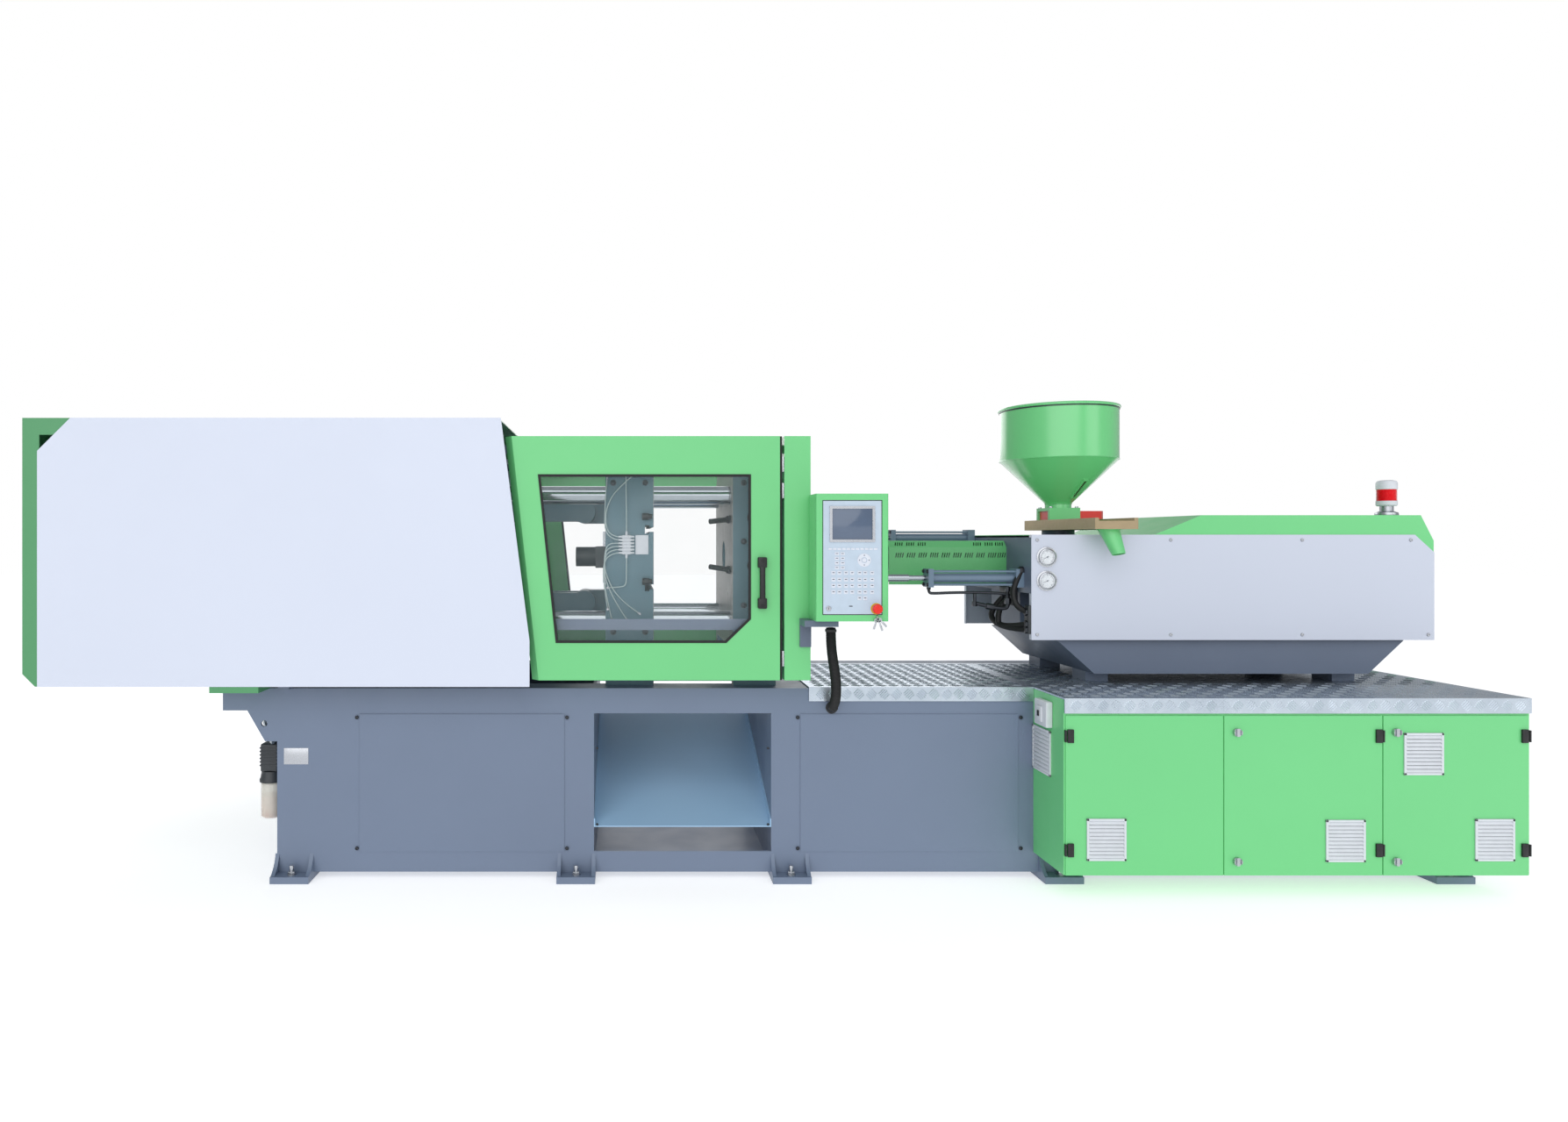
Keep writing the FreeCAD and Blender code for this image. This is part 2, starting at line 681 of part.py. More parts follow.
def moving_platen():
    block = platen_block(MOVING_BACK_X, MOVING_FACE_X, TIE_R + SLIDE_GAP)
    pocket_half = EJECTOR_POCKET
    pocket = box(
        MOVING_BACK_X - 1, MOVING_BACK_X + EJECTOR_POCKET_DEPTH, -pocket_half, pocket_half,
        AXIS_Z - pocket_half, AXIS_Z + pocket_half,
    )
    slots = []
    reach = PLATEN_HALF + 1
    for level in (-1, 1):
        z = AXIS_Z + level * SLOT_DZ
        neck = SLOT_NECK / 2
        head = SLOT_HEAD / 2
        slots.append(
            box(MOVING_FACE_X - SLOT_NECK_DEPTH, MOVING_FACE_X + 1, -reach, reach, z - neck, z + neck)
        )
        slots.append(box(
            MOVING_FACE_X - SLOT_DEPTH, MOVING_FACE_X - SLOT_NECK_DEPTH, -reach, reach, z - head, z + head
        ))
    ways = [
        bar(V(MOVING_BACK_X, y, AXIS_Z + z), X_AXIS, EJECTOR_ROD_R + SLIDE_GAP, MOVING_THICK + 1)
        for y in (-EJECTOR_ROD_DY, EJECTOR_ROD_DY) for z in (-EJECTOR_ROD_DZ, EJECTOR_ROD_DZ)
    ]
    solids = [cut(block, [pocket] + slots + ways)] + shoes(MOVING_BACK_X, MOVING_FACE_X, BED_TOP + SLIDE_GAP)
    for level in (-1, 1):
        z = AXIS_Z + level * TOGGLE_HALF
        arm = box(MOVING_PIVOT_X, MOVING_BACK_X, -INNER_HALF, INNER_HALF, z - EYE_R, z + EYE_R)
        eye = bar(V(MOVING_PIVOT_X, -INNER_HALF, z), Y_AXIS, EYE_R, 2 * INNER_HALF)
        hole = bar(V(MOVING_PIVOT_X, -INNER_HALF - 1, z), Y_AXIS, PIN_R + PIN_GAP, 2 * INNER_HALF + 2)
        solids.append(union([arm, eye]).cut(hole))
    return union(solids)


def ejector_cylinder():
    bridge_x0 = EJECTOR_BACK_X - 18
    reach = EJECTOR_POCKET + 38
    bridge = box(bridge_x0, EJECTOR_BACK_X, -reach, reach, AXIS_Z - 42, AXIS_Z + 42)
    legs = [
        box(
            EJECTOR_BACK_X, MOVING_BACK_X, *sorted((side * (EJECTOR_POCKET + 8), side * reach)),
            AXIS_Z - 42, AXIS_Z + 42,
        )
        for side in (-1, 1)
    ]
    tube = bar(V(bridge_x0 - EJECTOR_TUBE, 0, AXIS_Z), X_AXIS, EJECTOR_TUBE_R, EJECTOR_TUBE)
    bore = bar(V(bridge_x0 - EJECTOR_TUBE + 10, 0, AXIS_Z), X_AXIS, EJECTOR_PISTON_R + SLIDE_GAP, EJECTOR_TUBE + 40)
    return cut(union([bridge, tube] + legs), [bore])


def ejector_plate():
    half = EJECTOR_POCKET - 10
    front = MOVING_BACK_X + EJECTOR_START
    plate = box(front - EJECTOR_PLATE, front, -half, half, AXIS_Z - half, AXIS_Z + half)
    rods = [
        bar(V(front, y, AXIS_Z + z), X_AXIS, EJECTOR_ROD_R, MOVING_FACE_X - front)
        for y in (-EJECTOR_ROD_DY, EJECTOR_ROD_DY) for z in (-EJECTOR_ROD_DZ, EJECTOR_ROD_DZ)
    ]
    back = front - EJECTOR_PLATE
    piston = bar(V(back - EJECTOR_ROD_REACH, 0, AXIS_Z), X_AXIS, EJECTOR_PISTON_R, EJECTOR_ROD_REACH)
    return union([plate, piston] + rods)


# ---- guarding of the clamp ----

def cover_outline():
    x0 = X_LEFT + COVER_BACK_EDGE
    corner = COVER_CORNER
    return [
        (x0, COVER_BOTTOM), (COVER_RIGHT_BOTTOM, COVER_BOTTOM), (COVER_RIGHT_BOTTOM, COVER_BEND_Z),
        (COVER_RIGHT_TOP, COVER_TOP), (x0 + corner, COVER_TOP), (x0, COVER_TOP - corner),
    ]


def clamp_cover_panels():
    front = prism_xz(cover_outline(), -COVER_HALF - COVER_SHEET, -COVER_HALF)
    return group([front, mirror_y(front)])


def shell_outline():
    corner = 45
    return [
        (X_LEFT + corner, COVER_BOTTOM), (COVER_RIGHT_BOTTOM - 8, COVER_BOTTOM),
        (COVER_RIGHT_BOTTOM - 8, COVER_BEND_Z), (COVER_RIGHT_TOP - 8, COVER_TOP),
        (X_LEFT, COVER_TOP), (X_LEFT, COVER_BOTTOM + corner),
    ]


def clamp_cover_shell():
    outline = shell_outline()
    body = prism_xz(outline, -COVER_HALF, COVER_HALF)
    room = prism_xz(inset_xz(outline, 0, COVER_SHEET), -COVER_HALF + COVER_SHEET, COVER_HALF - COVER_SHEET)
    through = prism_xz(inset_xz(outline, 0, COVER_RIM), -COVER_HALF - 1, COVER_HALF + 1)
    open_end = box(
        COVER_RIGHT_TOP - 60, 0, -COVER_HALF - 1, COVER_HALF + 1, COVER_BOTTOM - 1, COVER_TOP - COVER_SHEET
    )
    floor_way = box(
        X_LEFT + COVER_RIM, 0, -BED_HALF + 20, BED_HALF - 20, COVER_BOTTOM - 1, COVER_BOTTOM + COVER_SHEET + 1
    )
    post_way = box(
        RAIL_X0 - 10, 0, -COVER_HALF + COVER_SHEET, COVER_HALF - COVER_SHEET,
        COVER_BOTTOM - 1, COVER_BOTTOM + COVER_SHEET + 1,
    )
    runners = [
        box(
            BED_X0 - LEDGE_LENGTH, RAIL_X0 - 40, *sorted((side * (BED_HALF - 20), side * COVER_HALF)),
            BED_TOP, COVER_BOTTOM,
        )
        for side in (-1, 1)
    ]
    shell = cut(body, [room, through, open_end, floor_way, post_way])
    return union([shell] + runners)


def gate_frame():
    column = box(COLUMN_X[0], COLUMN_X[1], -GATE_FACE, -COLUMN_IN, GATE_BOTTOM, GATE_TOP)
    hollow = box(
        COLUMN_X[0] + 4, COLUMN_X[1] - 4, -GATE_FACE + 4, -COLUMN_IN + 1, GATE_BOTTOM + 4, GATE_TOP - 4
    )
    inner = -RAIL_FACE + RAIL_THICK
    low = box(RAIL_X0, COLUMN_X[0], -RAIL_FACE, inner, RAIL_LOW_Z[0], RAIL_LOW_Z[1])
    high = box(RAIL_X0, COLUMN_X[0], -RAIL_FACE, inner, RAIL_HIGH_Z[0], RAIL_HIGH_Z[1])
    arms = [
        box(FIXED_BACK_X - 80, COLUMN_X[1] - 20, -COLUMN_IN, -PLATEN_HALF, AXIS_Z + z, AXIS_Z + z + 60)
        for z in (-300, 220)
    ]
    post = box(RAIL_X0, RAIL_X0 + RAIL_POST, inner, inner + 20, BED_TOP, RAIL_HIGH_Z[1])
    foot = box(RAIL_X0, RAIL_X0 + RAIL_POST, inner, -BED_HALF + 60, BED_TOP, BED_TOP + 20)
    return union([column.cut(hollow), low, high, post, foot] + arms)


def gate_frames():
    front = gate_frame()
    return group([front, mirror_y(front)])


def window_outline(grow):
    return [
        (WINDOW_X0 - grow, WINDOW_TOP + grow), (WINDOW_X0_BOTTOM - grow, WINDOW_BOTTOM - grow),
        (WINDOW_X1 - WINDOW_CUT_X + grow / 2, WINDOW_BOTTOM - grow),
        (WINDOW_X1 + grow, WINDOW_BOTTOM + WINDOW_CUT_Z - grow / 2), (WINDOW_X1 + grow, WINDOW_TOP + grow),
    ]


def gate_panel():
    front = -GATE_FACE
    outline = [
        (GATE_LEFT_TOP, GATE_TOP), (GATE_LEFT_BOTTOM, GATE_BOTTOM),
        (GATE_X1, GATE_BOTTOM), (GATE_X1, GATE_TOP),
    ]
    back = front + GATE_DEPTH
    lean = 26
    body = prism_xz(outline, front, back)
    room = prism_xz(inset_xz(outline, 0, GATE_SHEET), front + GATE_SHEET, back + 1)
    bevel = prism(
        [
            (GATE_LEFT_TOP, front, GATE_TOP), (GATE_LEFT_TOP + GATE_SHEET, front, GATE_TOP),
            (GATE_LEFT_TOP - lean + GATE_SHEET, back, GATE_TOP), (GATE_LEFT_TOP - lean, back, GATE_TOP),
        ],
        V(GATE_LEFT_BOTTOM - GATE_LEFT_TOP, 0, GATE_BOTTOM - GATE_TOP),
    )
    opening = prism_xz(window_outline(0), front - 1, back + 1)
    corners = [edge for edge in opening.Edges if abs(edge.BoundBox.YLength - GATE_DEPTH - 2) < 0.01]
    opening = opening.makeFillet(WINDOW_R, corners)
    return cut(union([cut(body, [room]), bevel]), [opening])


def gate_hanger(x, rail_z, above):
    y0 = -GATE_FACE + GATE_SHEET
    y1 = -RAIL_FACE - SLIDE_GAP
    top = rail_z[1] + SLIDE_GAP
    arm = box(x, x + HANGER_LENGTH, y0, y1, rail_z[0], top + above)
    lip = box(x, x + HANGER_LENGTH, y1, -RAIL_FACE + RAIL_THICK, top, top + above)
    return union([arm, lip])


def gate_body():
    hangers = [gate_hanger(x, RAIL_LOW_Z, 14) for x in HANGER_LOW_X]
    hangers += [gate_hanger(x, RAIL_HIGH_Z, 14) for x in HANGER_HIGH_X]
    return union([gate_panel()] + hangers)


def gate_window():
    inner = -GATE_FACE + GATE_SHEET
    return prism_xz(window_outline(PANE_LAP), inner, inner + PANE_THICK)


# ---- deck and electrical cabinet ----

def deck_plates():
    top = BED_TOP + DECK_THICK
    lip_z = top - DECK_LIP
    left = union([
        box(DECK_X0, CABINET_X0 - 1, -DECK_FRONT, DECK_BACK, BED_TOP, top),
        box(DECK_X0, CABINET_X0 - 1, -DECK_FRONT, -DECK_FRONT + DECK_THICK, lip_z, top),
    ])
    front = -CABINET_FRONT - DECK_OVERHANG
    right = union([
        box(CABINET_X0, X_RIGHT, front, DECK_BACK, BED_TOP, top),
        box(CABINET_X0, X_RIGHT, front, front + DECK_THICK, lip_z, top),
    ])
    return group([left, right])


def door_spans():
    left = CABINET_X0 + DOOR_GAP
    right = X_RIGHT - DOOR_GAP
    edges = [left, DOOR_SEAMS[0], DOOR_SEAMS[1], right]
    return [(edges[i] + DOOR_GAP / 2, edges[i + 1] - DOOR_GAP / 2) for i in range(3)]


def cabinet_shell():
    back = -BED_HALF - SLIDE_GAP
    sheet = CABINET_SHEET
    z0, z1 = CABINET_Z
    outer = box(CABINET_X0, X_RIGHT, -FRAME_FRONT, back, z0, z1)
    room = box(
        CABINET_X0 + sheet, X_RIGHT - sheet, -FRAME_FRONT + sheet, back - sheet, z0 + sheet, z1 - sheet
    )
    mouths = [
        box(
            x0 + DOOR_LIP, x1 - DOOR_LIP, -FRAME_FRONT - 1, -FRAME_FRONT + sheet + 1,
            z0 + DOOR_LIP, DOOR_TOP - DOOR_LIP,
        )
        for x0, x1 in door_spans()
    ]
    return cut(outer, [room] + mouths)


def hinge_lines():
    spans = door_spans()
    offset = DOOR_GAP / 2
    return [spans[0][0] - offset, spans[1][1] + offset, spans[2][1] + offset]


def cabinet_hinges():
    solids = []
    y = -CABINET_FRONT - HINGE_OUT
    for x in hinge_lines():
        for z in HINGE_Z:
            knuckle = bar(V(x, y, z), Z_AXIS, HINGE_R, HINGE_LENGTH)
            leaf = box(x - HINGE_LEAF / 2, x + HINGE_LEAF / 2, y, -FRAME_FRONT, z, z + HINGE_LENGTH)
            solids.append(union([knuckle, leaf]))
    return group(solids)


def lock_spots():
    spans = door_spans()
    return [(spans[door][0] + LOCK_INSET, z) for door in (1, 2) for z in LOCK_Z]


def cabinet_door(index):
    x0, x1 = door_spans()[index]
    plate = box(x0, x1, -CABINET_FRONT, -CABINET_FRONT + DOOR_THICK, CABINET_Z[0], DOOR_TOP)
    holes = [
        bar(V(x, -CABINET_FRONT - 1, z), Y_AXIS, LOCK_SHAFT_R + SLIDE_GAP, DOOR_THICK + 2)
        for x, z in lock_spots() if x0 < x < x1
    ]
    return plate.cut(holes) if holes else plate


def door_lock(spot):
    x, z = spot
    head = bar(V(x, -CABINET_FRONT - LOCK_OUT, z), Y_AXIS, LOCK_R, LOCK_OUT - SLIDE_GAP)
    shaft = bar(V(x, -CABINET_FRONT - SLIDE_GAP, z), Y_AXIS, LOCK_SHAFT_R, LOCK_SHAFT)
    wing = box(x - 3, x + 3, -CABINET_FRONT - LOCK_OUT, -CABINET_FRONT - LOCK_OUT + 5, z - LOCK_R, z + LOCK_R)
    slots = [wing.copy(), wing.copy()]
    slots[0].translate(V(-8, 0, 0))
    slots[1].translate(V(8, 0, 0))
    return cut(union([head, shaft]), slots)


# ---- injection base and unit ----

def injection_base():
    outline = [
        (BASE_FLOOR_X[0], BASE_BOTTOM), (BASE_FLOOR_X[1], BASE_BOTTOM),
        (BASE_X[1], BASE_TOP), (BASE_X[0], BASE_TOP),
    ]
    wall = BASE_WALL
    body = prism_xz(outline, -BASE_HALF, BASE_HALF)
    room_outline = [
        (BASE_FLOOR_X[0] + wall, BASE_BOTTOM - 1), (BASE_FLOOR_X[1] - wall, BASE_BOTTOM - 1),
        (BASE_FLOOR_X[1] - wall, BASE_TOP - wall), (BASE_FLOOR_X[0] + wall, BASE_TOP - wall),
    ]
    room = prism_xz(room_outline, -BASE_HALF + wall, BASE_HALF - wall)
    ways = [
        box(BASE_X[0] + 10, BASE_X[1] - 10, side * WAY_Y - WAY_WIDTH / 2, side * WAY_Y + WAY_WIDTH / 2,
            BASE_TOP, BASE_TOP + WAY_HEIGHT)
        for side in (-1, 1)
    ]
    deck_top = BED_TOP + DECK_THICK
    blocks = [
        box(
            x, x + BASE_BLOCK, *sorted((side * (BASE_HALF - 70 - 110), side * (BASE_HALF - 70))),
            deck_top, BASE_BOTTOM + 8,
        )
        for x in (BASE_FLOOR_X[0], BASE_FLOOR_X[1] - BASE_BLOCK) for side in (-1, 1)
    ]
    floor_strips = [
        box(BASE_FLOOR_X[0], BASE_FLOOR_X[1], *sorted((side * (BASE_HALF - 190), side * BASE_HALF)), BASE_BOTTOM, BASE_BOTTOM + 8)
        for side in (-1, 1)
    ]
    return union([body.cut(room)] + floor_strips + ways + blocks)


def carriage():
    low = BASE_TOP + WAY_HEIGHT + SLIDE_GAP
    inner_y = SIDE_FACE - SIDE_SHEET
    head = box(HEAD_X[0], HEAD_X[1], -inner_y, inner_y, AXIS_Z - HEAD_HALF_Z, AXIS_Z + HOUSING_UP)
    housing = box(HEAD_X[1], HOUSING_X1, -HOUSING_HALF, HOUSING_HALF, low, AXIS_Z + HOUSING_UP)
    boss = bar(V(HOPPER_X, 0, AXIS_Z), Z_AXIS, THROAT_BOSS, HOPPER_BASE_Z - AXIS_Z)
    rails = [
        box(HEAD_X[1] + 60, REAR_PLATE_X[1], *sorted((side * (WAY_Y - 30), side * (WAY_Y + 30))), low, low + BEAM_RAIL_HEIGHT)
        for side in (-1, 1)
    ]
    cross = box(HEAD_X[1] + 60, HOUSING_X1, -WAY_Y, WAY_Y, low, low + BEAM_RAIL_HEIGHT)
    rear = union([
        box(REAR_PLATE_X[0], REAR_PLATE_X[1], -inner_y, inner_y, low, AXIS_Z - REAR_STEP),
        box(REAR_PLATE_X[0], REAR_PLATE_X[1], -BEAM_HALF, BEAM_HALF, low, AXIS_Z + REAR_PLATE_UP),
    ])
    guides = [
        bar(V(HOUSING_X1 - 30, side * GUIDE_Y, AXIS_Z), X_AXIS, GUIDE_R, REAR_PLATE_X[0] - HOUSING_X1 + 60)
        for side in (-1, 1)
    ]
    ears = [
        box(HOUSING_X1 - 60, HOUSING_X1, side * GUIDE_Y - 45, side * GUIDE_Y + 45, AXIS_Z - 50, AXIS_Z + 50)
        for side in (-1, 1)
    ]
    bore = bar(V(HEAD_X[0] - 1, 0, AXIS_Z), X_AXIS, BARREL_R + SEAT_GAP, HOUSING_X1 - HEAD_X[0] + 2)
    throat = bar(V(HOPPER_X, 0, AXIS_Z), Z_AXIS, THROAT_R, HOPPER_BASE_Z - AXIS_Z + 1)
    clear = bar(V(REAR_PLATE_X[0] - 1, 0, AXIS_Z), X_AXIS, MOTOR_R + 6, REAR_PLATE_X[1] - REAR_PLATE_X[0] + 2)
    body = union([head, housing, boss, cross, rear] + rails + guides + ears)
    return cut(body, [bore, throat, clear])


def barrel():
    tube = bar(V(BARREL_X0, 0, AXIS_Z), X_AXIS, BARREL_R, HOUSING_X1 - BARREL_X0)
    nozzle = bar(V(NOZZLE_X0, 0, AXIS_Z), X_AXIS, NOZZLE_R, BARREL_X0 - NOZZLE_X0)
    tip = Part.makeCone(NOZZLE_TIP_R, NOZZLE_R, NOZZLE_X0 - NOZZLE_TIP_X, V(NOZZLE_TIP_X, 0, AXIS_Z), X_AXIS)
    bore = bar(V(BARREL_X0, 0, AXIS_Z), X_AXIS, SCREW_R + PIN_GAP, HOUSING_X1 - BARREL_X0 + 1)
    sprue = bar(V(NOZZLE_TIP_X - 1, 0, AXIS_Z), X_AXIS, 3, BARREL_X0 - NOZZLE_TIP_X + 2)
    throat = bar(V(HOPPER_X, 0, AXIS_Z), Z_AXIS, THROAT_R - 6, BARREL_R + 1)
    return cut(union([tube, nozzle, tip]), [bore, sprue, throat])


def screw():
    start = V(BARREL_X0 + 12, 0, AXIS_Z)
    tip = Part.makeCone(4, SCREW_R, 30, start, X_AXIS)
    shaft = bar(start + V(30, 0, 0), X_AXIS, SCREW_R, BEAM_X[0] - 40 - start.x - 30)
    root = bar(V(BEAM_X[0] - 40, 0, AXIS_Z), X_AXIS, DRIVE_R, BEAM_X[1] - BEAM_X[0] + 36)
    return union([tip, shaft, root])


def injection_beam():
    body = box(BEAM_X[0], BEAM_X[1], -BEAM_HALF, BEAM_HALF, AXIS_Z - BEAM_HALF_Z, AXIS_Z + BEAM_HALF_Z)
    holes = [
        bar(V(BEAM_X[0] - 1, side * GUIDE_Y, AXIS_Z), X_AXIS, GUIDE_R + SLIDE_GAP, BEAM_X[1] - BEAM_X[0] + 2)
        for side in (-1, 1)
    ]
    drive = bar(V(BEAM_X[0] - 1, 0, AXIS_Z), X_AXIS, DRIVE_R + PIN_GAP, BEAM_X[1] - BEAM_X[0] + 2)
    return cut(body, holes + [drive])


def screw_motor():
    start = V(BEAM_X[1], 0, AXIS_Z)
    flange = bar(start, X_AXIS, MOTOR_R, 26)
    body = bar(start, X_AXIS, MOTOR_R - 14, MOTOR_LENGTH)
    port = box(BEAM_X[1] + 90, BEAM_X[1] + 160, -34, 34, AXIS_Z, AXIS_Z + MOTOR_R)
    return union([flange, body, port])


def barrel_guard():
    low = AXIS_Z - GUARD_DOWN
    top = AXIS_Z + GUARD_UP
    half = GUARD_HALF
    bevel = GUARD_BEVEL

    def outline(inset):
        return [
            (-half + inset, low - inset), (-half + inset, top - bevel), (-half + bevel, top - inset),
            (half - bevel, top - inset), (half - inset, top - bevel), (half - inset, low - inset),
        ]
    body = prism_yz(outline(0), GUARD_X0, HEAD_X[0])
    room = prism_yz(outline(GUARD_SHEET), GUARD_X0 - 1, HEAD_X[0] + 1)
    return cut(body, [room])


def pull_spots():
    return [(-PULL_Y, AXIS_Z - PULL_DZ), (PULL_Y, AXIS_Z + PULL_DZ)]


def pull_in_cylinders():
    solids = []
    half = PULL_HEAD / 2
    x0, x1 = PULL_TUBE_X
    front = x0 - PULL_FRONT_CAP
    for y, z in pull_spots():
        tube = bar(V(x0, y, z), X_AXIS, PULL_TUBE_R, x1 - x0)
        caps = [box(a, b, y - half, y + half, z - half, z + half) for a, b in ((front, x0), (x1, HEAD_X[0]))]
        stays = [
            bar(V(x0, y + dy, z + dz), X_AXIS, PULL_STAY_R, x1 - x0)
            for dy in (-PULL_STAY_OFFSET, PULL_STAY_OFFSET) for dz in (-PULL_STAY_OFFSET, PULL_STAY_OFFSET)
        ]
        bore = bar(V(x0, y, z), X_AXIS, PULL_BORE_R, x1 - x0)
        mouth = bar(V(front - 1, y, z), X_AXIS, PULL_ROD_R + SLIDE_GAP, PULL_FRONT_CAP + 2)
        solids.append(cut(union([tube] + caps + stays), [bore, mouth]))
    return group(solids)


def pull_in_rods():
    solids = []
    for y, z in pull_spots():
        flange = bar(V(FIXED_BACK_X, y, z), X_AXIS, PULL_FLANGE_R, PULL_FLANGE)
        sleeve = bar(V(FIXED_BACK_X, y, z), X_AXIS, PULL_SLEEVE_R, PULL_SLEEVE_X1 - FIXED_BACK_X)
        rod = bar(V(FIXED_BACK_X, y, z), X_AXIS, PULL_ROD_R, PULL_ROD_X1 - FIXED_BACK_X)
        piston = bar(V(PULL_ROD_X1 - 16, y, z), X_AXIS, PULL_BORE_R - SLIDE_GAP, 16)
        solids.append(union([flange, sleeve, rod, piston]))
    return group(solids)


def guard_rod():
    z = AXIS_Z + GUARD_ROD_DZ
    rod = bar(V(FIXED_BACK_X, GUARD_ROD_Y, z), X_AXIS, GUARD_ROD_R, GUARD_ROD_X1 - FIXED_BACK_X)
    nose = Part.makeSphere(GUARD_ROD_R, V(GUARD_ROD_X1, GUARD_ROD_Y, z))
    flange = bar(V(FIXED_BACK_X, GUARD_ROD_Y, z), X_AXIS, GUARD_ROD_R + 6, 14)
    clamp = box(
        GUARD_BAR_X[0], GUARD_BAR_X[1], GUARD_ROD_Y - 17, GUARD_ROD_Y + 17, z - GUARD_BAR_DROP, z + 16
    )
    return union([rod, nose, flange, clamp])


# ---- injection cover ----

def injection_cover_sides():
    x0, x1 = SIDE_X
    z0, z1 = SIDE_Z
    outline = [
        (x0, z0), (x1, z0), (x1, z1 - SIDE_CORNER_Z), (x1 - SIDE_CORNER_X, z1), (x0, z1),
    ]
    front = prism_xz(outline, -SIDE_FACE, -SIDE_FACE + SIDE_SHEET)
    return group([front, mirror_y(front)])


def injection_cover_top():
    sheet = SIDE_SHEET
    x0, x1 = SIDE_X
    z1 = SIDE_Z[1]
    rise0, rise1 = TOP_RAISE_X
    outer = [
        (x0, z1), (rise0, z1), (rise1, TOP_HIGH), (TOP_FLAT_X1, TOP_HIGH), (x1, z1 - 22), (x1, SIDE_Z[0]),
    ]
    inner = [
        (x1 - sheet, SIDE_Z[0]), (x1 - sheet, z1 - 22 - sheet), (TOP_FLAT_X1 - sheet, TOP_HIGH - sheet),
        (rise1 + 1, TOP_HIGH - sheet), (rise0 + 1, z1 - sheet), (x0, z1 - sheet),
    ]
    reach = SIDE_FACE - SIDE_SHEET
    skin = prism_xz(outer + inner, -reach, reach)
    cheek_outline = [
        (rise0, z1 - sheet), (rise1, TOP_HIGH - sheet), (TOP_FLAT_X1 - sheet, TOP_HIGH - sheet),
        (x1 - sheet, z1 - 22 - sheet), (x1 - sheet, z1 - SIDE_CORNER_Z - 40), (rise0, z1 - 40),
    ]
    cheeks = [
        prism_xz(cheek_outline, *sorted((side * (reach - sheet), side * reach))) for side in (-1, 1)
    ]
    hole = bar(V(HOPPER_X, 0, z1 - 10), Z_AXIS, TOP_HOLE, 20)
    return cut(union([skin] + cheeks), [hole])


def beacon():
    foot = V(BEACON_X, BEACON_Y, TOP_HIGH)
    base = bar(foot, Z_AXIS, BEACON_R, BEACON_BASE)
    stem = bar(foot, Z_AXIS, BEACON_STEM_R, BEACON_BASE + BEACON_STEM)
    body_z = TOP_HIGH + BEACON_BASE + BEACON_STEM
    body = bar(V(BEACON_X, BEACON_Y, body_z), Z_AXIS, BEACON_BODY_R, BEACON_TOP - body_z)
    crown = body.makeFillet(8, [edge for edge in body.Edges if abs(edge.BoundBox.ZMin - BEACON_TOP) < 0.01])
    return union([base, stem, crown])


# ---- hopper ----

def turned(shape):
    shape.rotate(V(HOPPER_X, 0, 0), Z_AXIS, HOPPER_TURN)
    return shape


def hopper_base():
    z0 = HOPPER_BASE_Z
    z1 = z0 + HOPPER_PLATE
    x = HOPPER_X
    half = HOPPER_BASE_HALF
    plate = box(x - HOPPER_BASE_BACK, x + HOPPER_BASE_FRONT, -half, half, z0, z1)
    gibs = [
        box(x - HOPPER_BASE_BACK, x + HOPPER_BASE_FRONT, *sorted((side * (half - HOPPER_GIB), side * half)),
            z1, z1 + HOPPER_GIB_HEIGHT)
        for side in (-1, 1)
    ]
    holes = [bar(V(x + at, 0, z0 - 1), Z_AXIS, THROAT_R, HOPPER_PLATE + 2) for at in (0, HOPPER_TRAVEL)]
    return turned(cut(union([plate] + gibs), holes))


def hopper():
    foot_z = HOPPER_BASE_Z + HOPPER_PLATE + SLIDE_GAP
    gate_z0 = foot_z + FOOT_PLATE
    gate_z1 = gate_z0 + SHUTOFF_HEIGHT
    neck_z = gate_z1 + NECK_FLANGE
    x = HOPPER_X
    half = FOOT_PLATE_HALF
    foot = box(x - half, x + half, -half, half, foot_z, gate_z0)
    flange = box(x - half, x + half, -half, half, gate_z1, neck_z)
    walls = [
        box(x + level * (SHUTOFF_HALF + SLIDE_GAP) if level > 0 else x - half,
            x + half if level > 0 else x - SHUTOFF_HALF - SLIDE_GAP, -half, half, gate_z0, gate_z1)
        for level in (-1, 1)
    ]
    mount = turned(union([foot, flange] + walls))
    sheet = HOPPER_SHEET
    profile = [
        V(x + NECK_R, 0, neck_z), V(x + NECK_R, 0, neck_z + 18), V(x + HOPPER_R, 0, CONE_TOP),
        V(x + HOPPER_R, 0, HOPPER_TOP - RIM_R), V(x + HOPPER_R - sheet, 0, HOPPER_TOP - RIM_R),
        V(x + HOPPER_R - sheet, 0, CONE_TOP + 1), V(x + NECK_R - sheet, 0, neck_z + 19),
        V(x + NECK_R - sheet, 0, neck_z),
    ]
    face = Part.Face(Part.makePolygon(profile + profile[:1]))
    funnel = face.revolve(V(x, 0, 0), Z_AXIS, 360)
    rim = Part.makeTorus(HOPPER_R, RIM_R, V(x, 0, HOPPER_TOP - RIM_R), Z_AXIS)
    bore = bar(V(x, 0, foot_z - 1), Z_AXIS, NECK_BORE_R, neck_z - foot_z + 1.5)
    body = union([mount, funnel]).cut(bore)
    return union([body, rim])


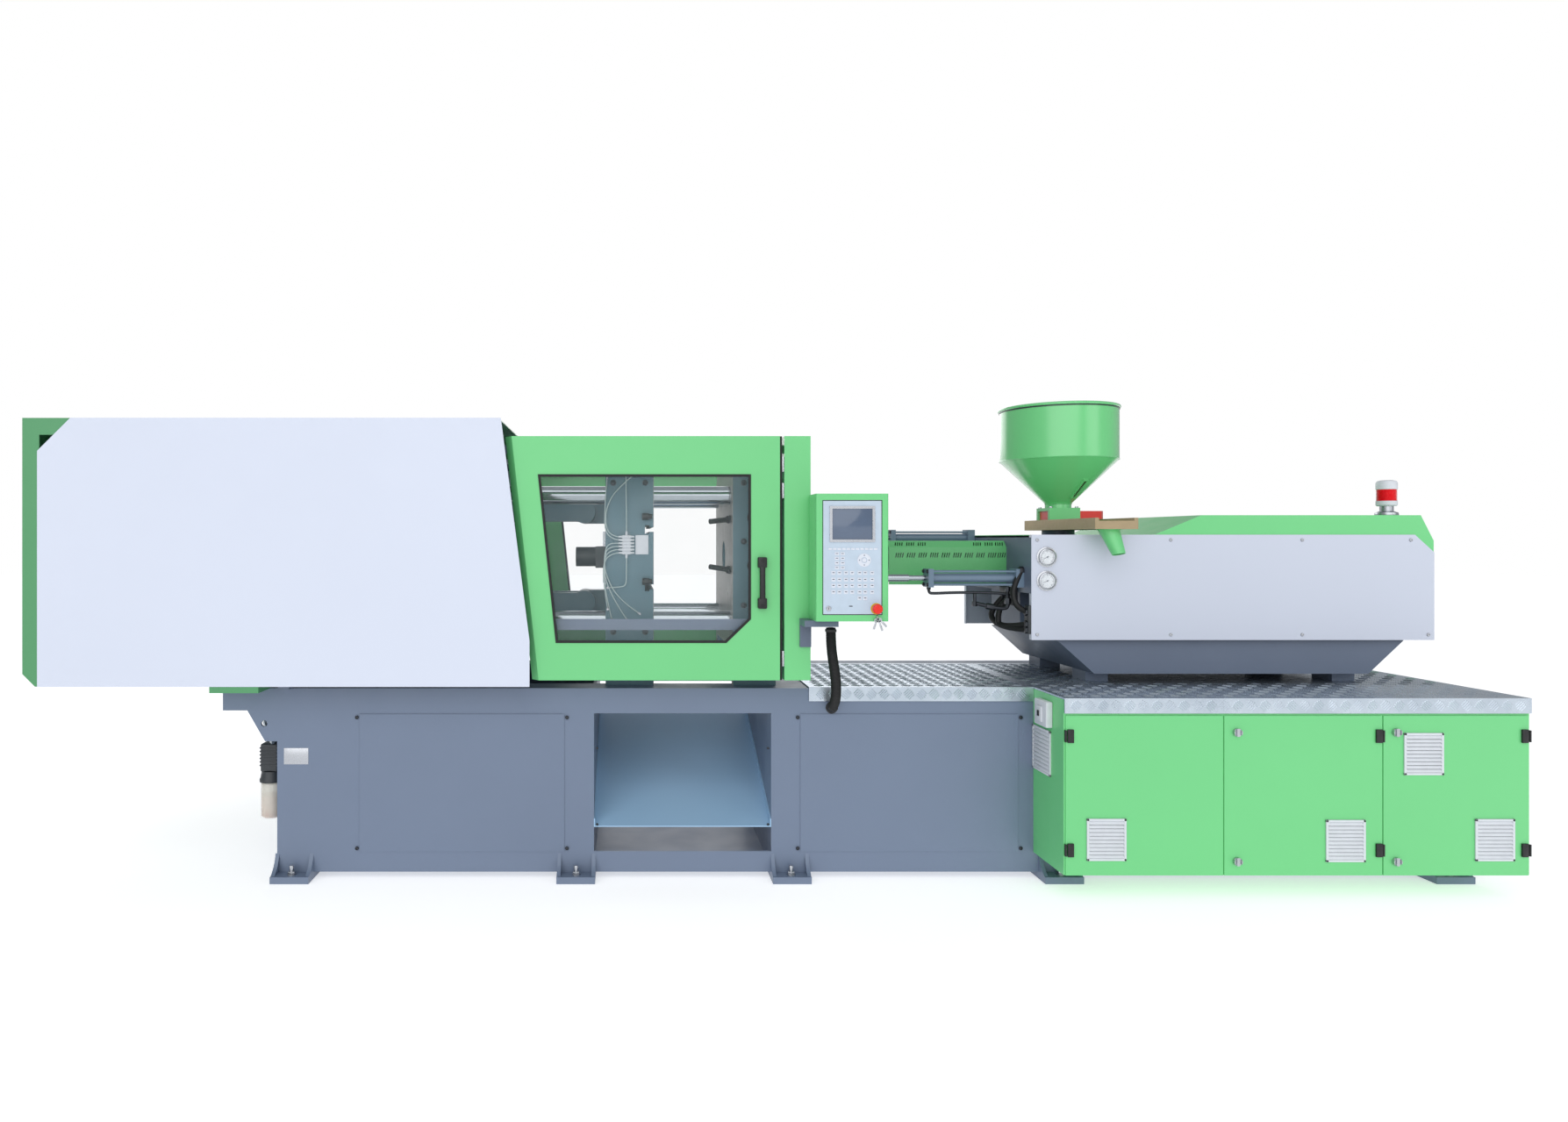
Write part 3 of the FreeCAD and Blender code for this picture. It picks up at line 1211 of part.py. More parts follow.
def shutoff_gate():
    z0 = HOPPER_BASE_Z + HOPPER_PLATE + SLIDE_GAP + FOOT_PLATE + SLIDE_GAP
    z1 = z0 + SHUTOFF_HEIGHT - 2 * SLIDE_GAP
    x = HOPPER_X
    half = SHUTOFF_HALF
    tip = SHUTOFF_CHAMFER
    outline = [
        (x - half, -SHUTOFF_BACK), (x + half, -SHUTOFF_BACK), (x + half, SHUTOFF_FRONT - tip),
        (x + half - tip, SHUTOFF_FRONT), (x - half + tip, SHUTOFF_FRONT), (x - half, SHUTOFF_FRONT - tip),
    ]
    plate = prism_xy(outline, z0, z1)
    hole = bar(V(x, 0, z0 - 1), Z_AXIS, NECK_BORE_R, z1 - z0 + 2)
    return turned(plate.cut(hole))


def drain_chute():
    turn = math.radians(HOPPER_TURN)
    x = HOPPER_X + HOPPER_TRAVEL * math.cos(turn)
    y = HOPPER_TRAVEL * math.sin(turn)
    top = HOPPER_BASE_Z
    lean_x, lean_y = DRAIN_LEAN

    def tube(inset, over):
        start = Part.makeCircle(DRAIN_R - inset, V(x, y, top + over), Z_AXIS)
        centre = V(x + lean_x, y + lean_y, top - DRAIN_DROP - over)
        stop = Part.makeCircle(DRAIN_END_R - inset, centre, V(-lean_x, -lean_y, 2 * DRAIN_DROP))
        return Part.makeLoft([Part.Wire(start), Part.Wire(stop)], True)
    return tube(0, 0).cut(tube(DRAIN_SHEET, 1))


# ---- control panel ----

def hmi_housing():
    x0, x1 = PANEL_X
    z0 = PANEL_Z0
    z1 = z0 + PANEL_HEIGHT
    sheet = PANEL_SHEET
    border = PANEL_BORDER
    outer = box(x0, x1, -PANEL_FRONT, -PANEL_BACK, z0, z1)
    outer = outer.makeFillet(6, [edge for edge in outer.Edges if abs(edge.BoundBox.ZLength - PANEL_HEIGHT) < 0.01])
    room = box(x0 + sheet, x1 - sheet, -PANEL_FRONT + sheet, -PANEL_BACK - sheet, z0 + sheet, z1 - sheet)
    mouth = box(x0 + border, x1 - border, -PANEL_FRONT - 1, -PANEL_FRONT + sheet + 1, z0 + border, z1 - border)
    socket = bar(V(SWIVEL_X, SWIVEL_Y, z0 - 1), Z_AXIS, SWIVEL_PIN_R + PIN_GAP, sheet + 2)
    return cut(outer, [room, mouth, socket])


def hmi_fascia():
    x0, x1 = PANEL_X
    z0 = PANEL_Z0
    z1 = z0 + PANEL_HEIGHT
    border = PANEL_BORDER - 8
    back = -PANEL_FRONT + PANEL_SHEET
    plate = box(x0 + border, x1 - border, back, back + FASCIA_THICK, z0 + border, z1 - border)
    raised = box(
        x0 + PANEL_BORDER + 1, x1 - PANEL_BORDER - 1, -PANEL_FRONT + 1, back, z0 + PANEL_BORDER + 1, z1 - PANEL_BORDER - 1
    )
    hole = bar(V(STOP_X, -PANEL_FRONT - 4, STOP_Z), Y_AXIS, STOP_SHAFT_R + SLIDE_GAP, 20)
    ring = bar(V(STOP_X, -PANEL_FRONT - 3, STOP_Z), Y_AXIS, STOP_RING_R, 5)
    return cut(union([plate, raised, ring]), [hole])


def emergency_stop():
    face = -PANEL_FRONT - 3
    head_y = face - STOP_OUT + 3
    head = bar(V(STOP_X, head_y, STOP_Z), Y_AXIS, STOP_R, STOP_OUT - 3 - STOP_TRAVEL - 2)
    head = head.makeFillet(5, [edge for edge in head.Edges if abs(edge.BoundBox.YMax - head_y) < 0.01])
    shaft = bar(V(STOP_X, head_y + 6, STOP_Z), Y_AXIS, STOP_SHAFT_R, STOP_OUT + 16)
    return union([head, shaft])


def hmi_bracket():
    z1 = PANEL_Z0 - SLIDE_GAP
    z0 = z1 - BRACKET_DROP
    x0 = COLUMN_X[1] - 40
    arm = box(x0, SWIVEL_X + 32, SWIVEL_Y - 30, -GATE_FACE, z0, z1)
    pin = bar(V(SWIVEL_X, SWIVEL_Y, z1 - 1), Z_AXIS, SWIVEL_PIN_R, SLIDE_GAP + PANEL_SHEET + 12)
    back = box(x0, COLUMN_X[1], -GATE_FACE - 12, -GATE_FACE, z0 - 80, z1)
    return union([arm, pin, back])


# ---- conduit ----

def fillet_path(points, share):
    corners = [V(*point) for point in points]
    edges = []
    last = corners[0]
    for before, here, after in zip(corners, corners[1:], corners[2:]):
        run_in = (here - before).Length
        run_out = (after - here).Length
        turn = (here - before).getAngle(after - here)
        reach = share * min(run_in, run_out)
        radius = reach / math.tan(turn / 2)
        print("conduit radius", round(radius))
        toward = (before - here).normalize()
        away = (after - here).normalize()
        start = here + toward * reach
        stop = here + away * reach
        inward = (toward + away).normalize()
        middle = here + inward * (radius / math.cos(turn / 2) - radius)
        edges.append(Part.makeLine(last, start))
        edges.append(Part.Arc(start, middle, stop).toShape())
        last = stop
    edges.append(Part.makeLine(last, corners[-1]))
    return Part.Wire(edges)


def conduit():
    path = fillet_path(CONDUIT_POINTS, 0.45)
    start = V(*CONDUIT_POINTS[0])
    heading = V(*CONDUIT_POINTS[1]) - start
    ring = Part.Wire(Part.makeCircle(CONDUIT_R, start, heading))
    tube = path.makePipeShell([ring], True, False)
    expected = math.pi * CONDUIT_R ** 2 * path.Length
    print("conduit length", round(path.Length), "volume ratio", round(tube.Volume / expected, 4))
    end = V(*CONDUIT_POINTS[-1])
    before = V(*CONDUIT_POINTS[-2])
    heading_end = (end - before).normalize()
    flange = bar(V(end.x, -BED_HALF - 5, end.z), Y_AXIS, GLAND_R, 5)
    nut_start = end - heading_end * 30
    collar = bar(nut_start, heading_end, GLAND_R - 1.5, 30)
    collar = collar.cut(box(0, 500, -BED_HALF, 0, 500, 800))
    top_z = PANEL_Z0 - SLIDE_GAP - BRACKET_DROP
    top = bar(V(start.x, start.y, top_z - GLAND_LENGTH), Z_AXIS, GLAND_R, GLAND_LENGTH)
    tube = tube.cut(box(0, 500, -BED_HALF, 0, 500, 800))
    return union([tube, collar, flange, top])


# ---- lubricator ----

def lubricator():
    half = LUBE_PUMP_HALF
    z0, z1 = LUBE_PUMP_Z
    pump = box(LUBE_X - half, LUBE_X + half, LUBE_Y - half, LUBE_Y + half, z0 + LUBE_CAP, z1)
    cap = bar(V(LUBE_X, LUBE_Y, z0), Z_AXIS, LUBE_JAR_R + 2, LUBE_CAP)
    plate = box(LUBE_X + half - 1, BED_X0, LUBE_Y - 30, LUBE_Y + 30, z0 + 30, z1 - 10)
    jar = bar(V(LUBE_X, LUBE_Y, LUBE_JAR_Z[0]), Z_AXIS, LUBE_JAR_R - 3, LUBE_JAR_Z[1] - LUBE_JAR_Z[0])
    return group([union([pump, cap, plate]), jar])


def main():
    os.makedirs("parts", exist_ok=True)
    save("bed_frame", bed_frame())
    save("bed_panels", bed_panels())
    save("product_chute", product_chute())
    save("levelling_feet", levelling_feet())
    save("pump_unit", pump_unit())
    save("stationary_platen", stationary_platen())
    save("tie_bars", tie_bars())
    save("tie_bar_nuts", tie_bar_nuts())
    save("adjusting_nuts", adjusting_nuts())
    save("end_platen", end_platen())
    save("clamp_cylinder", clamp_cylinder())
    save("crosshead", crosshead())
    for name, link in (
        ("rear_link", rear_link()), ("front_link", front_link()), ("crosshead_link", crosshead_link()),
    ):
        save(name + "_upper", link)
        save(name + "_lower", mirror_axis(link))
    save("moving_platen", moving_platen())
    save("ejector_cylinder", ejector_cylinder())
    save("ejector_plate", ejector_plate())
    save("clamp_cover_panels", clamp_cover_panels())
    save("clamp_cover_shell", clamp_cover_shell())
    save("gate_frames", gate_frames())
    gate = gate_body()
    save("front_gate", gate)
    save("rear_gate", mirror_y(gate))
    save("gate_window", gate_window())
    save("deck_plates", deck_plates())
    save("cabinet_shell", cabinet_shell())
    save("cabinet_hinges", cabinet_hinges())
    for index, place in enumerate(("left", "centre", "right")):
        save("cabinet_door_" + place, cabinet_door(index))
    for index, spot in enumerate(lock_spots()):
        save("door_lock_" + str(index + 1), door_lock(spot))
    save("injection_base", injection_base())
    save("carriage", carriage())
    save("barrel", barrel())
    save("screw", screw())
    save("injection_beam", injection_beam())
    save("screw_motor", screw_motor())
    save("barrel_guard", barrel_guard())
    save("pull_in_cylinders", pull_in_cylinders())
    save("pull_in_rods", pull_in_rods())
    save("guard_rod", guard_rod())
    save("injection_cover_sides", injection_cover_sides())
    save("injection_cover_top", injection_cover_top())
    save("beacon", beacon())
    save("hopper_base", hopper_base())
    save("hopper", hopper())
    save("shutoff_gate", shutoff_gate())
    save("drain_chute", drain_chute())
    save("hmi_housing", hmi_housing())
    save("hmi_fascia", hmi_fascia())
    save("emergency_stop", emergency_stop())
    save("hmi_bracket", hmi_bracket())
    save("conduit", conduit())
    save("lubricator", lubricator())


main()
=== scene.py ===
import math

import bmesh
import bpy
from bpy.props import FloatProperty, FloatVectorProperty, IntProperty, PointerProperty
from mathutils import Color, Matrix, Vector


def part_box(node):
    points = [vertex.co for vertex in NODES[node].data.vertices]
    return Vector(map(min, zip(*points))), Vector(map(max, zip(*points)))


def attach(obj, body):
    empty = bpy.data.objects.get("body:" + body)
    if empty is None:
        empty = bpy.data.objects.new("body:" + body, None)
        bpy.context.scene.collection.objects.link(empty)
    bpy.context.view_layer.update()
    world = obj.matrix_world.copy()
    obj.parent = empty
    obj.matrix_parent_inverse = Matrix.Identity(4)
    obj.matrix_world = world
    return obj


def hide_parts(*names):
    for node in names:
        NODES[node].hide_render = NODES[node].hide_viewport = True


bl_info = {
    "name": "Injection moulding machine looks",
    "version": (1, 0, 0),
    "blender": (4, 5, 0),
    "location": "3D View > Sidebar > Moulding",
    "description": "Finishes, fine pieces and studio for an injection moulding machine",
    "category": "Object",
}

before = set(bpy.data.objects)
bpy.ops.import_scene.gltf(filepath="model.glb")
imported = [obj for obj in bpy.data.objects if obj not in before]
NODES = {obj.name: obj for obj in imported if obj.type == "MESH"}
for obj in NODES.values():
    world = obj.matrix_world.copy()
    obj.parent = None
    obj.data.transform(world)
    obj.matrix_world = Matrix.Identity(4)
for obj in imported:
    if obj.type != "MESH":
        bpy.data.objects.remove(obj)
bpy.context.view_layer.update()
BOX = {name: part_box(name) for name in NODES}

X = Vector((1, 0, 0))
Y = Vector((0, 1, 0))
Z = Vector((0, 0, 1))

# The clamp and barrel axis.
CENTRE_Y = (BOX["tie_bars"][0].y + BOX["tie_bars"][1].y) / 2
AXIS_Z = (BOX["tie_bars"][0].z + BOX["tie_bars"][1].z) / 2


def at(x, y, z):
    """A point in the row frame from one measured off the machine's centreline."""
    return Vector((x, y + CENTRE_Y, z))


# ---- settings a user would change ----

def colour_setting(name, description, default):
    return FloatVectorProperty(
        name=name, description=description, default=default, size=3, min=0.0, max=1.0, subtype="COLOR_GAMMA"
    )


def length_setting(name, description, default):
    return FloatProperty(
        name=name, description=description, default=default, min=0.0, subtype="DISTANCE", unit="LENGTH", precision=4
    )


class MachineColours(bpy.types.PropertyGroup):
    green: colour_setting("Machine green", "Gates, cabinet, hopper and control panel", (0.42, 0.79, 0.50))
    # painted shade: the end green is the machine green darkened, for the shell at the clamp end
    dark_green: colour_setting("End green", "Shell at the clamp end", (0.30, 0.58, 0.38))
    white: colour_setting("Panel white", "Large cover panels", (0.82, 0.845, 0.905))
    slate: colour_setting("Bed slate", "Bed, feet and injection base", (0.42, 0.475, 0.565))
    teal: colour_setting("Casting teal", "Platens and toggle castings", (0.30, 0.435, 0.485))
    chute_blue: colour_setting("Chute blue", "Folded product chute", (0.60, 0.74, 0.86))
    fascia: colour_setting("Fascia grey", "Face of the control panel", (0.73, 0.79, 0.85))
    red: colour_setting("Signal red", "Stop button, shut-off and lamp", (0.88, 0.13, 0.07))


class DetailSizes(bpy.types.PropertyGroup):
    tread_pitch: length_setting("Tread pitch", "Distance between groups of bars on the deck", 0.046)
    tread_length: length_setting("Tread length", "Length of one raised bar", 0.034)
    tread_height: length_setting("Tread height", "Height of the raised bars", 0.0014)
    louvre_width: length_setting("Louvre width", "Width of a cabinet vent", 0.135)
    louvre_height: length_setting("Louvre height", "Height of a cabinet vent", 0.144)
    louvre_slats: IntProperty(name="Louvre slats", description="Slats in one cabinet vent", default=10, min=2)
    line_width: length_setting("Lubrication line", "Outside diameter of a lubrication line", 0.004)
    gauge_radius: length_setting("Gauge radius", "Outer radius of a pressure gauge", 0.038)


class StudioSettings(bpy.types.PropertyGroup):
    floor_half: length_setting("Floor half size", "Half the side of the pale floor", 30.0)
    key_power: FloatProperty(
        name="Key light", description="Strength of the broad light from the front and above", default=1.5, min=0.0
    )
    room_light: FloatProperty(
        name="Room light", description="Strength of the light from all round", default=0.42, min=0.0
    )


# ---- procedural finishes ----

FINISHES = {}


def to_linear(colour):
    return tuple(Color(colour[:3]).from_srgb_to_scene_linear())


def shaded(colour, factor):
    return tuple(min(1.0, channel * factor) for channel in to_linear(colour)) + (1.0,)


class FinishTree:
    """One material and the node chains that give it colour, gloss and relief."""

    def __init__(self, name, metallic=0.0, roughness=0.5):
        self.material = bpy.data.materials.new(name)
        FINISHES[name] = self.material
        self.material.use_nodes = True
        self.nodes = self.material.node_tree.nodes
        self.links = self.material.node_tree.links
        self.shader = self.nodes["Principled BSDF"]
        self.shader.inputs["Metallic"].default_value = metallic
        self.shader.inputs["Roughness"].default_value = roughness
        self.place = self.nodes.new("ShaderNodeTexCoord").outputs["Object"]

    def set(self, socket, value):
        self.shader.inputs[socket].default_value = value

    def mapped(self, stretch):
        mapping = self.nodes.new("ShaderNodeMapping")
        mapping.inputs["Scale"].default_value = stretch
        self.links.new(self.place, mapping.inputs["Vector"])
        return mapping.outputs["Vector"]

    def noise(self, scale, detail=3.0, stretch=(1.0, 1.0, 1.0)):
        node = self.nodes.new("ShaderNodeTexNoise")
        node.inputs["Scale"].default_value = scale
        node.inputs["Detail"].default_value = detail
        self.links.new(self.mapped(stretch), node.inputs["Vector"])
        return node.outputs["Fac"]

    def spread(self, value, low, high, start=0.3, stop=0.7):
        node = self.nodes.new("ShaderNodeMapRange")
        node.inputs["From Min"].default_value = start
        node.inputs["From Max"].default_value = stop
        node.inputs["To Min"].default_value = low
        node.inputs["To Max"].default_value = high
        self.links.new(value, node.inputs["Value"])
        return node.outputs["Result"]

    def mix(self, value, first, second):
        node = self.nodes.new("ShaderNodeMix")
        node.data_type = "RGBA"
        self.links.new(value, node.inputs["Factor"])
        for socket, colour in ((node.inputs[6], first), (node.inputs[7], second)):
            if isinstance(colour, tuple):
                socket.default_value = colour
            else:
                self.links.new(colour, socket)
        return node.outputs[2]

    def past(self, axis, threshold):
        """1 where the place lies past the threshold along the axis, else 0."""
        split = self.nodes.new("ShaderNodeSeparateXYZ")
        self.links.new(self.place, split.inputs["Vector"])
        node = self.nodes.new("ShaderNodeMath")
        node.operation = "GREATER_THAN"
        node.inputs[1].default_value = threshold
        self.links.new(split.outputs[axis], node.inputs[0])
        return node.outputs["Value"]

    def colour(self, source):
        self.links.new(source, self.shader.inputs["Base Color"])

    def gloss(self, source):
        self.links.new(source, self.shader.inputs["Roughness"])

    def relief(self, height, distance, strength=1.0):
        node = self.nodes.new("ShaderNodeBump")
        node.inputs["Distance"].default_value = distance
        node.inputs["Strength"].default_value = strength
        self.links.new(height, node.inputs["Height"])
        before = self.shader.inputs["Normal"].links
        if before:
            self.links.new(before[0].from_socket, node.inputs["Normal"])
        self.links.new(node.outputs["Normal"], self.shader.inputs["Normal"])


def paint(name, colour, roughness=0.36, mottling=0.05, peel=0.00035, coat=0.15):
    """Sprayed sheet metal: faint mottling, uneven gloss and an orange-peel skin."""
    tree = FinishTree(name)
    broad = tree.noise(1.7, 4.0)
    tree.colour(tree.mix(broad, shaded(colour, 1.0 - mottling), shaded(colour, 1.0 + mottling)))
    tree.gloss(tree.spread(tree.noise(9.0), roughness - 0.05, roughness + 0.07))
    tree.relief(tree.noise(420.0, 2.0), peel, 0.35)
    tree.set("Coat Weight", coat)
    tree.set("Coat Roughness", 0.22)
    return tree


def casting(name, colour, roughness=0.5):
    """Brushed-over cast iron: a pebbled skin whose hollows are darkened with painted shade."""
    tree = FinishTree(name)
    grain = tree.noise(60.0, 5.0)
    mottled = tree.mix(tree.noise(3.0, 4.0), shaded(colour, 0.86), shaded(colour, 1.1))
    # painted shade: the coarse grain pulls the colour down towards 0.6 of itself, for shade in the hollows
    tree.colour(tree.mix(tree.spread(grain, 0.0, 0.25, 0.55, 0.8), mottled, shaded(colour, 0.6)))
    tree.gloss(tree.spread(tree.noise(14.0), roughness - 0.1, roughness + 0.1))
    tree.relief(grain, 0.0012, 0.5)
    tree.set("Coat Weight", 0.2)
    tree.set("Coat Roughness", 0.3)
    return tree


def bare_metal(name, colour, roughness, stretch=(1.0, 1.0, 1.0), scale=140.0, stain=0.12):
    """Machined metal: fine tool lines along one direction and faint stains."""
    tree = FinishTree(name, metallic=1.0)
    lines = tree.noise(scale, 4.0, stretch)
    stains = tree.noise(11.0, 4.0)
    tree.colour(tree.mix(stains, shaded(colour, 1.0 - stain), shaded(colour, 1.0 + stain / 2)))
    tree.gloss(tree.spread(lines, roughness - 0.06, roughness + 0.08))
    tree.relief(lines, 0.00025, 0.3)
    return tree


def moulded(name, colour, roughness=0.5, grain=0.0003):
    """Moulded plastic or rubber: a fine spark-eroded grain."""
    tree = FinishTree(name)
    tree.colour(tree.mix(tree.noise(40.0), shaded(colour, 0.93), shaded(colour, 1.07)))
    tree.gloss(tree.spread(tree.noise(120.0), roughness - 0.06, roughness + 0.06))
    tree.relief(tree.noise(700.0, 2.0), grain, 0.4)
    return tree


def platen_finish(name, colours, axis_face, bare_side):
    """A painted casting whose mould face is ground bare; the split is just under that face."""
    tree = casting(name, colours.teal)
    skin = tree.shader.inputs["Base Color"].links[0].from_socket
    swirls = tree.noise(3.0, 6.0, (1.0, 6.0, 40.0))
    freckles = tree.spread(tree.noise(95.0, 6.0), 0.0, 0.7, 0.56, 0.72)
    bare = tree.mix(swirls, (0.20, 0.19, 0.18, 1.0), (0.48, 0.46, 0.43, 1.0))
    bare = tree.mix(freckles, bare, (0.16, 0.14, 0.12, 1.0))
    face = tree.past("X", axis_face)
    ends = (skin, bare) if bare_side > 0 else (bare, skin)
    tree.colour(tree.mix(face, *ends))
    metal = tree.spread(face, 0.0 if bare_side > 0 else 0.85, 0.85 if bare_side > 0 else 0.0, 0.0, 1.0)
    tree.links.new(metal, tree.shader.inputs["Metallic"])
    return tree


def clear_sheet(name, colour, alpha, roughness):
    tree = FinishTree(name, roughness=roughness)
    smear = tree.spread(tree.noise(6.0, 4.0), alpha * 0.7, alpha * 1.5)
    tree.set("Base Color", colour)
    tree.links.new(smear, tree.shader.inputs["Alpha"])
    tree.gloss(tree.spread(tree.noise(9.0), roughness, roughness + 0.08))
    tree.set("Coat Weight", 0.6)
    tree.set("Coat Roughness", 0.04)
    return tree


def tread_metal(name):
    """Rolled aluminium: bright, with handling scuffs in every direction."""
    tree = FinishTree(name, metallic=0.92)
    scuffs = tree.noise(30.0, 6.0, (1.0, 4.0, 1.0))
    tree.colour(tree.mix(tree.noise(7.0), (0.40, 0.46, 0.53, 1.0), (0.66, 0.73, 0.80, 1.0)))
    tree.gloss(tree.spread(scuffs, 0.2, 0.42))
    tree.relief(tree.noise(160.0, 4.0), 0.0004, 0.5)
    return tree


def make_finishes(colours):
    green = colours.green
    paint("green_paint", green, 0.34, coat=0.3)
    # painted shade: a darker copy of the machine green for the clamp cover shell
    paint("shaded_end_green_paint", colours.dark_green, 0.4, 0.025)
    paint("hopper_gloss", green, 0.2, 0.04, 0.0005, 0.8)
    paint("guard_green", tuple(channel * 0.86 for channel in green), 0.36)
    paint("white_paint", colours.white, 0.42, 0.02, 0.0002, 0.1)
    paint("cover_paint", tuple(channel * 0.93 for channel in colours.white), 0.42, 0.02, 0.0002, 0.1)
    paint("slate_paint", colours.slate, 0.45, 0.07, 0.0007)
    paint("base_slate", tuple(channel * 0.86 for channel in colours.slate), 0.5, 0.07, 0.0007)
    paint("chute_paint", colours.chute_blue, 0.4, 0.04)
    paint("cylinder_blue", (0.40, 0.48, 0.56), 0.32, 0.06)
    paint("dark_paint", (0.17, 0.19, 0.22), 0.42, 0.1, 0.0006)
    paint("red_paint", colours.red, 0.28, 0.05, 0.0003, 0.6)
    casting("teal_casting", colours.teal)
    casting("dark_casting", (0.16, 0.18, 0.2))
    frames = paint("green_paint_and_slate_rails", green, 0.34, coat=0.3)
    skin = frames.shader.inputs["Base Color"].links[0].from_socket
    slate = shaded(tuple(0.95 * channel for channel in colours.slate), 1.0)
    frames.colour(frames.mix(frames.past("X", BOX["hmi_bracket"][0].x - 0.055), slate, skin))
    platen_finish("fixed_platen_finish", colours, BOX["stationary_platen"][0].x + 0.0015, -1)
    platen_finish("moving_platen_finish", colours, BOX["moving_platen"][1].x - 0.0015, 1)
    bare_metal("chrome_bar", (0.66, 0.69, 0.71), 0.13, (1.0, 30.0, 30.0), 4.0, 0.06)
    bare_metal("bright_steel", (0.74, 0.75, 0.77), 0.28)
    bare_metal("turned_steel", (0.55, 0.56, 0.58), 0.33, (1.0, 1.0, 40.0), 9.0)
    bare_metal("dark_steel", (0.27, 0.28, 0.3), 0.4)
    bare_metal("zinc_passivated", (0.69, 0.62, 0.50), 0.38, (1.0, 1.0, 1.0), 60.0, 0.16)
    tread_metal("tread_aluminium")
    moulded("black_plastic", (0.09, 0.09, 0.1), 0.45)
    moulded("black_rubber", (0.055, 0.06, 0.065), 0.6, 0.0006)
    moulded("fascia_film", colours.fascia, 0.5, 0.0001)
    moulded("key_dome", (0.83, 0.85, 0.89), 0.45, 0.0001)
    moulded("key_mark", (0.2, 0.22, 0.3), 0.5, 0.0001)
    moulded("white_plastic", (0.82, 0.835, 0.86), 0.42)
    moulded("pale_nylon", (0.68, 0.74, 0.74), 0.35)
    moulded("yellow_plastic", (0.85, 0.70, 0.12), 0.35)
    moulded("stop_red_plastic", colours.red, 0.26, 0.0001)
    moulded("dial_white", (0.88, 0.89, 0.9), 0.5, 0.0001)
    moulded("slot_brown", (0.22, 0.16, 0.12), 0.25)
    # painted shade: near-black for the bores, slots and the space behind the vents
    moulded("painted_void_shade", (0.025, 0.027, 0.03), 0.8)
    clear_sheet("clear_pane", (0.45, 0.55, 0.56, 1.0), 0.05, 0.05)
    clear_sheet("dial_glass", (0.9, 0.95, 1.0, 1.0), 0.12, 0.03)
    clear_sheet("jar_plastic", (0.80, 0.78, 0.70, 1.0), 0.42, 0.15)
    oil = moulded("amber_oil", (0.78, 0.27, 0.06), 0.12, 0.0001)
    oil.set("Coat Weight", 0.6)
    lens = moulded("red_lens", (0.9, 0.07, 0.12), 0.14, 0.0001)
    lens.set("Coat Weight", 1.0)
    screen = moulded("display_glass", (0.33, 0.39, 0.48), 0.16, 0.0001)
    screen.set("Coat Weight", 0.5)


def finish_named(name):
    if name not in FINISHES:
        raise RuntimeError(f"the finish {name} isn't made yet: run Paint the frame first")
    return FINISHES[name]


NODE_FINISHES = {
    "slate_paint": ("bed_frame", "bed_panels", "levelling_feet"),
    "base_slate": ("injection_base", "injection_beam", "carriage", "hmi_bracket"),
    "chute_paint": ("product_chute",),
    "dark_paint": ("pump_unit", "screw_motor", "clamp_cylinder", "ejector_cylinder"),
    "fixed_platen_finish": ("stationary_platen",),
    "moving_platen_finish": ("moving_platen",),
    "teal_casting": (
        "end_platen", "crosshead", "rear_link_upper", "rear_link_lower", "front_link_upper",
        "front_link_lower", "crosshead_link_upper", "crosshead_link_lower",
    ),
    "chrome_bar": ("tie_bars", "pull_in_rods", "guard_rod", "screw"),
    "turned_steel": ("tie_bar_nuts", "adjusting_nuts", "barrel"),
    "bright_steel": ("ejector_plate", "door_lock_1", "door_lock_2", "door_lock_3", "door_lock_4"),
    "white_paint": ("clamp_cover_panels",),
    "cover_paint": ("injection_cover_sides",),
    # the clamp cover shell takes the machine green darkened as painted shade
    "shaded_end_green_paint": ("clamp_cover_shell",),
    "green_paint": (
        "front_gate", "rear_gate", "cabinet_shell", "cabinet_door_left", "cabinet_door_centre",
        "cabinet_door_right", "hmi_housing", "injection_cover_top", "drain_chute",
    ),
    "green_paint_and_slate_rails": ("gate_frames",),
    "guard_green": ("barrel_guard",),
    "hopper_gloss": ("hopper",),
    "red_paint": ("shutoff_gate",),
    "zinc_passivated": ("hopper_base",),
    "cylinder_blue": ("pull_in_cylinders",),
    "tread_aluminium": ("deck_plates",),
    "black_plastic": ("cabinet_hinges",),
    "black_rubber": ("conduit",),
    "fascia_film": ("hmi_fascia",),
    "clear_pane": ("gate_window",),
    "stop_red_plastic": ("emergency_stop",),
    "white_plastic": ("beacon",),
    "dark_casting": ("lubricator",),
}


def paint_nodes():
    for finish, nodes in NODE_FINISHES.items():
        for node in nodes:
            slots = NODES[node].data.materials
            slots.clear()
            slots.append(finish_named(finish))
    bare = [name for name in NODES if not any(name in nodes for nodes in NODE_FINISHES.values())]
    if bare:
        raise RuntimeError(f"these nodes have no finish: {bare}")


# ---- shaping tools ----

def block(mesh, low, high, radius=0.0, segments=2):
    low = Vector(low)
    high = Vector(high)
    spot = Matrix.Translation((low + high) / 2) @ Matrix.Diagonal((*(high - low), 1.0))
    made = bmesh.ops.create_cube(mesh, size=1.0, matrix=spot)
    if radius > 0:
        edges = {edge for vert in made["verts"] for edge in vert.link_edges}
        round_edges(mesh, edges, radius, segments)


def round_edges(mesh, edges, radius, segments=2):
    bmesh.ops.bevel(
        mesh, geom=list(edges), offset=radius, offset_type="OFFSET", segments=segments, profile=0.5,
        affect="EDGES", material=-1,
    )


def facing(direction):
    return Vector(direction).to_track_quat("Z", "Y").to_matrix().to_4x4()


